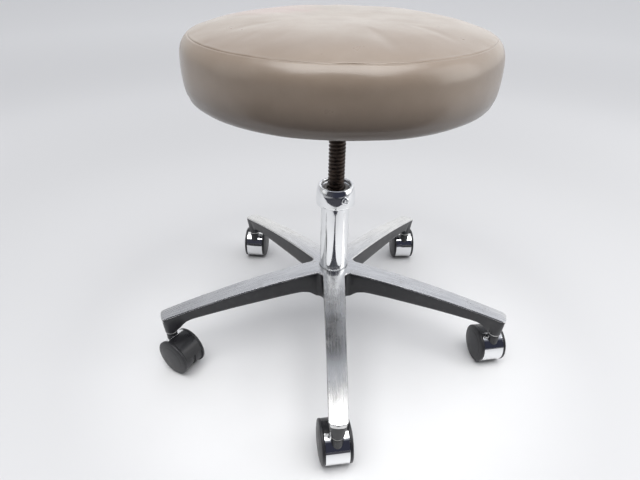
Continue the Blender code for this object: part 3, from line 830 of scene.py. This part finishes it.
def build_column():
    """Chromed tube, collar and nut ring."""
    inner = COLUMN_RADIUS - COLUMN_WALL
    outline = rounded([(inner, COLUMN_LOW_Z, 0.3 * MM), (COLUMN_RADIUS, COLUMN_LOW_Z, 0.8 * MM),
                       (COLUMN_RADIUS, COLUMN_LOW_Z + 2 * MM, 0),
                       (COLUMN_RADIUS, COLUMN_TOP_Z - 2 * MM, 0),
                       (COLUMN_RADIUS, COLUMN_TOP_Z, 0.8 * MM), (inner, COLUMN_TOP_Z, 0.3 * MM)])
    finished("column_chrome_tube", turned(outline, 96), [CHROME], "base",
             ("column_tube",), 40)
    bore = COLUMN_RADIUS + BORE_GAP
    shelf = COLUMN_TOP_Z + BORE_GAP
    barrel = smooth_curve([(radius, COLLAR_LOW_Z + height * MM) for radius, height in (
        (0.0246, 0.15), (0.0258, 0.5), (0.0265, 1.2), (0.0268, 2.4), (0.0269, 5),
        (0.027, 9), (0.0269, 12.5), (0.0264, 17.5), (0.0252, 22.6), (0.0235, 26.9))], 4)
    mouth = [(0.0228, COLLAR_TOP_Z), (0.0218, COLLAR_TOP_Z), (0.0212, COLLAR_TOP_Z - 0.4 * MM),
             (0.0209, COLLAR_TOP_Z - 1.1 * MM), (0.0209, shelf + 1.3 * MM),
             (0.0205, shelf + 0.8 * MM), (0.0192, shelf + 0.7 * MM), (0.019, shelf + 0.5 * MM),
             (0.019, shelf), (bore, shelf), (bore, COLLAR_LOW_Z + 0.3 * MM),
             (bore + 0.3 * MM, COLLAR_LOW_Z), (0.0234, COLLAR_LOW_Z)]
    finished("collar_chrome", turned([*barrel, *mouth], 96), [CHROME], "base",
             ("column_collar",), 40)
    body = inner - BORE_GAP
    outline = rounded([(0.0117, NUT_LOW_Z, 0.3 * MM), (body, NUT_LOW_Z, 0.5 * MM),
                       (body, shelf, 0), (0.0186, shelf, 0), (0.0186, shelf + 1.2 * MM, 0.3 * MM),
                       (0.0165, NUT_TOP_Z, 0.6 * MM), (0.0135, NUT_TOP_Z, 0.4 * MM),
                       (0.0117, NUT_TOP_Z - 1.6 * MM, 0.3 * MM)])
    finished("nut_ring", turned(outline, 72), [OILED_ZINC], "base",
             ("thread_nut",), 40)
    screw = cross_screw(5.6 * MM, 3.1 * MM, 2.2 * MM, 12 * MM)
    place = (Matrix.Rotation(SCREW_ANGLE, 4, "Z")
             @ Matrix.Translation((0.0277, 0, centre_of("collar_screw").z))
             @ Matrix.Rotation(pi / 2, 4, "Y") @ Matrix.Rotation(0.5, 4, "Z"))
    finished("collar_cross_screw", transformed(screw, place), [CHROME], "base",
             ("collar_screw",), 45)


# ---- base casting

def leg_top(radius):
    """Height of the legs' top face, which arches down to the tips."""
    share = max(radius - HUB_RADIUS, 0) / (TIP_RADIUS - HUB_RADIUS)
    return HUB_TOP_Z - (HUB_TOP_Z - LEG_TIP_Z) * (0.46 * share + 0.54 * share ** 2)


def leg_half_width(along):
    """Half width of a leg's top outline."""
    return 0.0158 - 0.0046 * (along - HUB_RADIUS) / (TIP_RADIUS - HUB_RADIUS)


def leg_belly(along):
    """Height of a leg's underside, which drops to the caster boss."""
    depths = ((34, 42.8), (38, 38.8), (43, 34.2), (52, 30.2), (62, 28.8), (75, 28.2), (90, 27.2),
              (110, 26.2), (130, 24.8), (150, 23.1), (170, 21.5), (190, 19.9), (205, 18.4),
              (214, 17.8), (220, 18.6), (224, 20.2), (228, 24), (231, 29), (234, 34.5))
    if along <= depths[0][0] * MM:
        return HUB_LOW_Z
    for (start, first), (end, second) in zip(depths, depths[1:]):
        if along <= end * MM:
            depth = first + (second - first) * (along / MM - start) / (end - start)
            return max(leg_top(along) - depth * MM, BOSS_Z)
    return BOSS_Z


def across_row(middle, end_along, end_across):
    """Points of one row across a leg: an arc through its middle and its two ends."""
    sag = middle - end_along
    if abs(sag) < 1e-5:
        return [(middle, end_across * share) for share in COLUMNS]
    radius = (sag ** 2 + end_across ** 2) / (2 * sag)
    span = atan2(end_across, radius - sag)
    return [(middle - radius + radius * cos(span * share), radius * sin(span * share))
            for share in COLUMNS]


def leg_outline():
    """Outline of half a leg from the valley to the tip: (along, across, normal, bulge)."""
    centre = polar(VALLEY_DISTANCE, LEG_SPREAD / 2).xy
    result = []
    for step in range(7):
        share = step / 6
        outward = -polar(1, radians(216 + 54 * share)).xy
        result.append((centre - outward * VALLEY_RADIUS, outward, 5.9 * MM + 5.2 * MM * share))
    stops = [0.0365, 0.041, 0.046, 0.052, 0.056, 0.0585, 0.066, 0.074, 0.083]
    stops += [0.083 + 0.0122 * step for step in range(1, 10)]
    stops += [0.2005, 0.2035, 0.209, 0.215, 0.2205, 0.2255, 0.23, 0.234, 0.2375, 0.241, 0.245]
    for stop in stops:
        bulge = 11.1 * MM * (1 - smoothstep(0.02, 0.08, stop))
        side = Vector((stop, leg_half_width(stop)))
        result.append((side, Vector((0.02, 1)).normalized(), bulge))
    corner = Vector((TIP_RADIUS - TIP_CORNER - 0.4 * MM,
                     leg_half_width(TIP_RADIUS) - TIP_CORNER + 0.05 * MM))
    for step in range(6):
        outward = polar(1, radians(89 - 77 * step / 5)).xy
        result.append((corner + outward * TIP_CORNER, outward, 0.45 * MM * (step / 5)))
    return result


def boss_rows(outline):
    """Underside end and middle of each row: straight under the leg, then round the boss."""
    stem = -centre_of("socket_front").y
    first = next(i for i, (point, _, _) in enumerate(outline) if point.x > 0.2335)
    last = len(outline) - 1
    result = []
    for index, (point, outward, bulge) in enumerate(outline):
        if index < first:
            width = point.y - MM
            width *= 1 - 0.42 * smoothstep(0.224, 0.2345, point.x)
            keep = 1 - smoothstep(0, 0.004, outward.x)
            end = Vector((point.x, width)) if point.x > 0.0335 else point - outward * 0.8 * MM
            result.append((end, end.x + bulge * keep if point.x > 0.0335 else end.x + bulge))
            continue
        share = (index - first) / (last - first)
        end = Vector((stem, 0)) + polar(BOSS_RADIUS, radians(152 - 117 * share)).xy
        result.append((end, stem - BOSS_RADIUS + 2 * BOSS_RADIUS * share))
    return result


def underside_height(along, share):
    """Height of the underside: a rim round a hollow in each leg."""
    inside = 0.0575 < along < 0.2025 and abs(share) < 0.74
    return leg_top(along) - 5 * MM if inside else leg_belly(along)


def build_sector():
    """One fifth of the casting, along +X."""
    bm = bmesh.new()
    uv = bm.loops.layers.uv.new("along")
    outline = leg_outline()
    under = boss_rows(outline)
    bore = COLUMN_RADIUS + BORE_GAP
    top_rows, low_rows = [], []

    def add_row(points, height_of):
        """Vertices of one row, at heights given by a function of distance and share."""
        return [bm.verts.new((x, y, height_of(hypot(x, y), share)))
                for (x, y), share in zip(points, COLUMNS)]

    def skin_rows(first, second, material):
        """Faces between two open rows."""
        for index in range(len(first) - 1):
            bm.faces.new((first[index], first[index + 1], second[index + 1],
                          second[index])).material_index = material

    hub_rings = ((bore, 1), (bore + 0.25 * MM, 0.4), (bore + 0.9 * MM, 0),
                 (0.0225, 0), (0.0252, 0), (0.028, 0))
    for radius, drop in hub_rings:
        arc = [polar(radius, LEG_SPREAD / 2 * share).xy for share in COLUMNS]
        top_rows.append(add_row(arc, lambda r, share, drop=drop: leg_top(r) - drop * MM))
        low_rows.append(add_row(arc, lambda r, share: HUB_LOW_Z))
    for (point, outward, bulge), (end, middle) in zip(outline, under):
        rim = point - outward * BEVEL_INSET
        centre = rim.x + bulge
        if point.x < 0.033:
            centre = rim.x + bulge * (1 if bulge > 6 * MM else rim.length / 0.0308)
        top_rows.append(add_row(across_row(centre, rim.x, rim.y),
                                lambda r, share: leg_top(r) - 0.35 * MM * share ** 2))
        inner = end - (end - Vector((middle, 0))).normalized() * 0.5 * MM
        low_rows.append(add_row(across_row(max(middle, inner.x), inner.x, inner.y),
                                underside_height))
    for rows, material in ((top_rows, 0), (low_rows, 1)):
        for first, second in zip(rows, rows[1:]):
            skin_rows(first, second, material)
    skin_rows(top_rows[0], low_rows[0], 1)
    add_walls(bm, outline, under, top_rows, low_rows)
    for face in bm.faces:
        for loop in face.loops:
            loop[uv].uv = (loop.vert.co.x, loop.vert.co.y)
    return bm


def add_walls(bm, outline, under, top_rows, low_rows):
    """Polished bevel and black side of the leg, from the top rows down to the low rows."""
    hub_count = len(top_rows) - len(outline)
    bevel = ((0.95, 0.32), (0.35, 0.9), (0, 1.95))
    tip_bevel = ((1.05, 0.05), (0.4, 0.2), (0, 0.8))
    wall = (0.2, 0.45, 0.8, 1)

    def bevel_at(index):
        """Bevel profile at one place of the outline, tighter round the tip."""
        blend = min(max((index - len(outline) + 7) / 6, 0), 1)
        return [(inset + (tip_inset - inset) * blend, drop + (tip_drop - drop) * blend)
                for (inset, drop), (tip_inset, tip_drop) in zip(bevel, tip_bevel)]

    def column_of(top, low, point, outward, end, profile, side=1):
        """Vertices between one of the top edge and one of the bottom edge."""
        height = leg_top(point.length)
        shoulder = height - profile[-1][1] * MM
        foot = low.co.z + 0.6 * MM
        spots = [(point - outward * inset * MM, height - drop * MM) for inset, drop in profile]
        spots += [(point.lerp(end, share), shoulder + (foot - shoulder) * share) for share in wall]
        return [top, *[bm.verts.new((spot.x, side * spot.y, z)) for spot, z in spots], low]

    def side_column(index, side):
        """Column at one place of the outline."""
        row, edge = hub_count + index, -1 if side > 0 else 0
        return column_of(top_rows[row][edge], low_rows[row][edge], *outline[index][:2],
                         under[index][0], bevel_at(index), side)

    point, end = outline[-1][0], under[-1][0]
    outer = across_row(TIP_RADIUS, *point)
    foot = across_row(under[-1][1], *end)
    right, left = [[side_column(index, side) for index in range(len(outline))] for side in (1, -1)]
    tip = [column_of(top_rows[-1][index], low_rows[-1][index], Vector(outer[index]),
                     Vector((1, 0.2 * COLUMNS[index])).normalized(), Vector(foot[index]),
                     tip_bevel) for index in range(1, len(COLUMNS) - 1)]
    loop = right + tip[::-1] + left[::-1]
    for first, second in zip(loop, loop[1:]):
        for level in range(len(first) - 1):
            face = bm.faces.new((first[level], second[level], second[level + 1], first[level + 1]))
            at_tip = min(first[0].co.x, second[0].co.x) > TIP_RADIUS - 3.5 * MM
            face.material_index = 0 if level < len(bevel) + at_tip else 1


def build_casting():
    """Five-leg casting: polished tops, black sides and hollow undersides."""
    mesh = as_mesh(build_sector(), "sector")
    bm = bmesh.new()
    for index in range(len(LEG_NAMES)):
        copy = mesh.copy()
        copy.transform(Matrix.Rotation(-pi / 2 + index * LEG_SPREAD, 4, "Z"))
        bm.from_mesh(copy)
        bpy.data.meshes.remove(copy)
    bmesh.ops.remove_doubles(bm, verts=bm.verts, dist=0.02 * MM)
    drills = [drill_at(f"socket_{name}", 6.1 * MM, BOSS_Z - MM, SOCKET_TOP_Z + 1.6 * MM)
              for name in LEG_NAMES]
    finishes = [POLISHED, SIDE_BLACK]
    result = baked_mesh(bm, "base_star", finishes, drills)
    placed("base_star", result, finishes, "base", ("base_casting",), 38)


def build_sockets():
    """Flanged sleeves in the bosses."""
    low = SOCKET_LOW_Z
    outline = rounded([(4.2 * MM, low, 0.2 * MM), (8 * MM, low, 0.4 * MM),
                       (8 * MM, low + 1.2 * MM, 0.3 * MM), (5.8 * MM, low + 1.2 * MM, 0),
                       (5.8 * MM, SOCKET_TOP_Z, 0.3 * MM), (4.2 * MM, SOCKET_TOP_Z, 0.2 * MM)], 3)
    for name in LEG_NAMES:
        node = f"socket_{name}"
        sleeve = transformed(turned(outline, 40), over(node))
        finished(f"stem_sleeve_{name}", sleeve, [ZINC], "base", (node,), 40)


# ---- casters

def caster_place(name):
    """Matrix of a caster's own frame, and its trail and wheel radius."""
    stem = centre_of(f"caster_stem_{name}")
    axle = centre_of(f"caster_axle_{name}")
    trail = Vector((axle.x - stem.x, axle.y - stem.y))
    turn = atan2(trail.y, trail.x)
    matrix = Matrix.Translation((stem.x, stem.y, 0)) @ Matrix.Rotation(turn, 4, "Z")
    return matrix, trail.length, axle.z


def strip_mesh(trail, wheel_radius, span, slotted):
    """Curved strip over the wheels, with or without the slot for the body's tongue."""
    slot_half = WEB_HALF_WIDTH + BORE_GAP
    start, end = span
    slot_rows, slot_column = range(0), 3
    turns = [start + (end - start) * step / 20 for step in range(20)]
    if slotted:
        slot_rows = range(4, 14)
        front, back = [acos((x - trail) / HOOD_RADIUS) for x in (6.8 * MM, -5.6 * MM)]
        turns = [low + (high - low) * step / steps for low, high, steps in (
            (start, front, 4), (front, back, 10), (back, end, 22)) for step in range(steps)]
    turns.append(end)
    sides = [-HOOD_HALF_WIDTH, -0.0103, -0.0063, -slot_half, slot_half, 0.0063, 0.0103,
             HOOD_HALF_WIDTH]
    bm = bmesh.new()

    def shell(radius):
        """Grid of vertices on one face of the strip."""
        return [[bm.verts.new((trail + radius * cos(turn), side,
                               wheel_radius + radius * sin(turn))) for side in sides]
                for turn in turns]

    outer, inner = shell(HOOD_RADIUS), shell(HOOD_RADIUS - HOOD_THICKNESS)
    rows, columns = len(turns) - 1, len(sides) - 1

    def solid(row, column):
        """True if the strip has material in this cell."""
        inside = 0 <= row < rows and 0 <= column < columns
        return inside and not (row in slot_rows and column == slot_column)

    for row in range(rows):
        for column in range(columns):
            if not solid(row, column):
                continue
            ring = ((row, column), (row, column + 1), (row + 1, column + 1), (row + 1, column))
            bm.faces.new([outer[r][c] for r, c in ring])
            bm.faces.new([inner[r][c] for r, c in ring[::-1]])
            edges = ((ring[0], ring[1], row - 1, column), (ring[1], ring[2], row, column + 1),
                     (ring[2], ring[3], row + 1, column), (ring[3], ring[0], row, column - 1))
            for (r0, c0), (r1, c1), next_row, next_column in edges:
                if not solid(next_row, next_column):
                    bm.faces.new((outer[r0][c0], inner[r0][c0], inner[r1][c1], outer[r1][c1]))
    loose = [vertex for vertex in bm.verts if not vertex.link_faces]
    bmesh.ops.delete(bm, geom=loose, context="VERTS")
    return facing_out(bm, "caster_hood")


def across_solid(trail, wheel_radius, outline, steps):
    """Solid of revolution about the wheel axle."""
    place = Matrix.Translation((trail, 0, wheel_radius)) @ Matrix.Rotation(-pi / 2, 4, "X")
    return transformed(turned(outline, steps), place)


def body_mesh(trail, wheel_radius):
    """Nylon body: a neck shaped to the hood, a tongue through it and the web."""
    clear = HOOD_RADIUS + BORE_GAP

    def on_hood(point):
        """Drops the neck's lower rings on to the hood."""
        if point.z > wheel_radius:
            return point
        return Vector((point.x, point.y, wheel_radius + sqrt(clear ** 2 - (point.x - trail) ** 2)))

    lower = [(NECK_RADIUS * share, 0) for share in (0.45, 0.8, 0.97, 1)]
    upper = [(radius, NECK_TOP_Z - below * MM) for radius, below in (
        (NECK_RADIUS, 4), (NECK_RADIUS, 1.2), (NECK_RADIUS - 0.35 * MM, 0.35),
        (NECK_RADIUS - 1.2 * MM, 0), (4.2 * MM, 0), (4.2 * MM, 5), (0, 5))]
    neck = turned(lower + upper, 56, closed=False, warp=on_hood)
    neck.verts.ensure_lookup_table()
    bottom = [vertex for vertex in neck.verts if vertex.is_boundary]
    neck.faces.new(sorted(bottom, key=lambda v: atan2(v.co.y, v.co.x)))
    tongue = bmesh.new()
    bmesh.ops.create_cube(tongue, size=1)
    low = Vector((-5 * MM, -WEB_HALF_WIDTH, 33 * MM))
    high = Vector((6.2 * MM, WEB_HALF_WIDTH, 52.9 * MM))
    for vertex in tongue.verts:
        vertex.co = Vector(low[axis] + (high[axis] - low[axis]) * (vertex.co[axis] + 0.5)
                           for axis in range(3))
    outline = rounded([(AXLE_RADIUS + 0.1 * MM, -WEB_HALF_WIDTH, 0),
                       (WEB_RADIUS, -WEB_HALF_WIDTH, 0.5 * MM),
                       (WEB_RADIUS, WEB_HALF_WIDTH, 0.5 * MM),
                       (AXLE_RADIUS + 0.1 * MM, WEB_HALF_WIDTH, 0)])
    web = across_solid(trail, wheel_radius, outline, 72)
    return baked_mesh(neck, "caster_body", [BODY_BLACK], unions=(tongue, web))


def wheel_mesh(trail, wheel_radius, sign):
    """Domed nylon wheel: a raised rim outside the hood and a drum under it."""
    dome = ((0, 21), (5.4, 20.96), (10.8, 20.75), (15.7, 20.38), (18.4, 20.1))
    rim = ((19.1, 19.95), (19.6, 19.72), (20.1, 19.66), (20.8, 19.6), (23.3, 19.12), (25.1, 18.62),
           (26.2, 18.2), (26.75, 17.8), (27, 17.2), (27, 15.2), (26.85, 14.8), (26.5, 14.62))
    drum = ((25.4, 14.6), (25.05, 14.35), (25, 13.9), (25, 8.5), (25, 3), (24.85, 2.65),
            (24.5, 2.5), (8, 2.5), (3.2, 2.5), (3.2, 15.6), (0, 15.6))
    outline = [(radius * MM, half * MM) for radius, half in dome + rim + drum]
    bm = across_solid(trail, wheel_radius, outline, 80)
    if sign < 0:
        bmesh.ops.scale(bm, verts=bm.verts, vec=(1, -1, 1))
    return facing_out(bm, "caster_wheel")


def build_casters():
    """Five casters, each with a hood, a body and two wheels on their own bodies."""
    _, trail, wheel_radius = caster_place("front")
    hood = strip_mesh(trail, wheel_radius, HOOD_TURN, True)
    fender = strip_mesh(trail, wheel_radius, FENDER_TURN, False)
    body = body_mesh(trail, wheel_radius)
    wheels = {"a": wheel_mesh(trail, wheel_radius, 1), "b": wheel_mesh(trail, wheel_radius, -1)}
    for name in LEG_NAMES:
        matrix = caster_place(name)[0]
        rides = f"caster_{name}"
        strips = [placed(f"hood_strip_{name}", hood, [CHROME], rides,
                         (f"caster_hood_{name}",), matrix=matrix),
                  placed(f"hood_fender_{name}", fender, [BODY_BLACK], rides,
                         matrix=matrix)]
        for strip in strips:
            soften(strip, 0.28 * MM, 3)
            strip.modifiers.new("flat_faces", "WEIGHTED_NORMAL").keep_sharp = True
        placed(f"caster_neck_{name}", body, [BODY_BLACK], rides,
               (f"caster_body_{name}",), 35, matrix)
        for side, mesh in wheels.items():
            placed(f"wheel_{name}_{side}_domed", mesh, [WHEEL_BLACK], f"wheel_{name}_{side}",
                   (f"caster_wheel_{name}_{side}",), 30, matrix)


# ---- carried-over CAD nodes

def dress_cad_nodes():
    """Gives the CAD nodes that stay their finishes and softened edges."""
    finishes = {"column_cap": BODY_BLACK, "guide_bush": WHITE_NYLON, "guide_washer": ZINC,
                "guide_screw": ZINC, "seat_board": PLYWOOD}
    finishes.update({f"tee_nut_{number}": ZINC for number in range(1, 5)})
    finishes.update({f"caster_{part}_{name}": ZINC for name in LEG_NAMES
                     for part in ("stem", "axle")})
    for node, material in finishes.items():
        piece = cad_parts[node]
        for slot in piece.material_slots:
            slot.material = material
        weld = piece.modifiers.new("weld", "WELD")
        weld.merge_threshold = 0.002 * MM
        soften(piece, 0.25 * MM, 2)


# ---- studio

def build_floor():
    """Pale floor with painted light and shade in its tone: paler at the stool's foot, darker
    further out and in front.
    """
    material, shader = start_material("floor_white", (0.8, 0.8, 0.8), 0.55)
    mottle = noise_value(coordinates(shader), 7, 3)
    tone = mixed_colour(spread(mottle, 0.3, 0.7), (0.81, 0.81, 0.81), (0.84, 0.84, 0.84))
    place = add_node(shader, "TexCoord").outputs["Object"]
    away = add_node(shader, "VectorMath", {"operation": "LENGTH"}, i0=place)
    # Painted light and shade by distance from the stool: paler within 0.2 m, against the seat's
    # shadow, 0.63 by 0.42 m, then 0.74 and 0.93 further out.
    for near, far, grey in ((0.2, 0.42, (0.63, 0.63, 0.635)), (0.8, 1.5, (0.74, 0.74, 0.745)),
                            (1.6, 3.2, (0.93, 0.93, 0.93))):
        tone = mixed_colour(spread(away.outputs["Value"], near, far, smooth=True), tone, grey)
    # Painted shade: the floor darkens in front of the stool from y = -0.25 m to -0.52 m, and this
    # also shows as dark reflections in the chrome.
    across = add_node(shader, "SeparateXYZ", Vector=place).outputs["Y"]
    tone = mixed_colour(spread(across, -0.52, -0.25, 1, 0, True), tone, (0.5, 0.5, 0.505))
    drive(shader, "Base Color", tone)
    bm = bmesh.new()
    bmesh.ops.create_grid(bm, x_segments=8, y_segments=8, size=9)
    floor = add_object("floor", as_mesh(bm, "floor"))
    floor.data.materials.append(material)


def build_reflection_card():
    """Black card on the floor in front, seen only by glossy rays: a painted dark reflection in
    polished surfaces.
    """
    material, shader = start_material("reflection_card_black", (0.02, 0.02, 0.028), 0.9)
    weave = noise_value(coordinates(shader), 40, 2)
    tone = mixed_colour(weave, (0.015, 0.015, 0.022), (0.03, 0.03, 0.04))
    drive(shader, "Base Color", tone)
    bm = bmesh.new()
    half, far, near = 1.3, -8.9, -0.4
    corners = ((-half, far), (half, far), (half, near), (-half, near))
    bm.faces.new([bm.verts.new((x, y, 2 * MM)) for x, y in corners])
    flag = add_object("front_reflection_card", as_mesh(bm, "front_reflection_card"))
    flag.data.materials.append(material)
    # Painted reflection: the card neither shows to the camera nor casts shade; it only darkens
    # what polished parts reflect.
    flag.visible_camera = flag.visible_diffuse = flag.visible_shadow = False


def build_world():
    """Pale room: bright ceiling and walls, and a darker side in front of the stool."""
    world = bpy.data.worlds.new("room")
    bpy.context.scene.world = world
    world.use_nodes = True
    world.node_tree.nodes.clear()
    output = add_node(world.node_tree, "OutputWorld")
    direction = add_node(output, "TexCoord").outputs["Generated"]
    parts = add_node(output, "SeparateXYZ", Vector=direction)
    forward = arithmetic("MULTIPLY", parts.outputs["Y"], -1)
    up = parts.outputs["Z"]
    dark_front = spread(forward, 0.2, 0.6, smooth=True)
    low_band = spread(up, 0.7, 0.93, 1, 0, True)
    dark = arithmetic("MULTIPLY", dark_front, low_band)
    wall = mixed_colour(spread(up, 0.2, 0.5, smooth=True), (1.1, 1.1, 1.1), (0.76, 0.78, 0.84))
    wall = mixed_colour(spread(up, 0.78, 0.97, smooth=True), wall, (1, 1, 1))
    room = mixed_colour(dark, wall, (0.035, 0.037, 0.055))
    shaded = spread(parts.outputs["X"], -0.85, 0, 0.6, 0, True)
    room = mixed_colour(shaded, room, (0.1, 0.1, 0.105))
    seen = add_node(output, "LightPath").outputs["Is Camera Ray"]
    shown = mixed_colour(seen, room, (0.72, 0.72, 0.715))
    background = add_node(output, "Background", Color=shown, Strength=1)
    drive(output, "Surface", background.outputs["Background"])


def add_softbox(name, place, target, width, height, power, tint=(1, 1, 1)):
    """Rectangular area light that faces a target."""
    light = bpy.data.lights.new(name, "AREA")
    light.shape = "RECTANGLE"
    light.size = width
    light.size_y = height
    light.energy = power
    light.color = tint
    lamp = add_object(name, light)
    lamp.location = place
    lamp.rotation_euler = (Vector(target) - Vector(place)).to_track_quat("-Z", "Y").to_euler()


def build_camera():
    """Camera that looks down on the stool from the front."""
    pitch, yaw, roll = radians(32.47), radians(0.68), radians(0.9)
    forward = Vector((sin(yaw) * cos(pitch), cos(yaw) * cos(pitch), -sin(pitch)))
    right = Vector((cos(yaw), -sin(yaw), 0))
    up = right.cross(forward)
    tilted_right = cos(roll) * right + sin(roll) * up
    tilted_up = -sin(roll) * right + cos(roll) * up
    matrix = Matrix((tilted_right, tilted_up, -forward)).transposed().to_4x4()
    matrix.translation = (-0.0274, -0.5845, 0.538)
    camera = add_object("camera", bpy.data.cameras.new("camera"))
    camera.matrix_world = matrix
    camera.data.lens = 27
    camera.data.sensor_width = 36
    camera.data.clip_start = 0.02
    bpy.context.scene.camera = camera


for build in (build_seat_cover, build_staples, build_seat_plate, build_spindle, build_column,
              build_casting, build_sockets, build_casters, dress_cad_nodes, build_floor,
              build_reflection_card, build_world):
    build()
middle = (0, 0, 0.25)
add_softbox("softbox_top", (0, -0.55, 1.9), middle, 2, 1.3, 32)
add_softbox("softbox_left", (-1.7, -0.5, 1), middle, 1.2, 1.4, 2, (0.97, 0.99, 1))
add_softbox("softbox_right", (1.7, -0.3, 1), middle, 1.2, 1.4, 8, (1, 0.99, 0.97))
build_camera()
bpy.context.scene.view_settings.view_transform = "Standard"
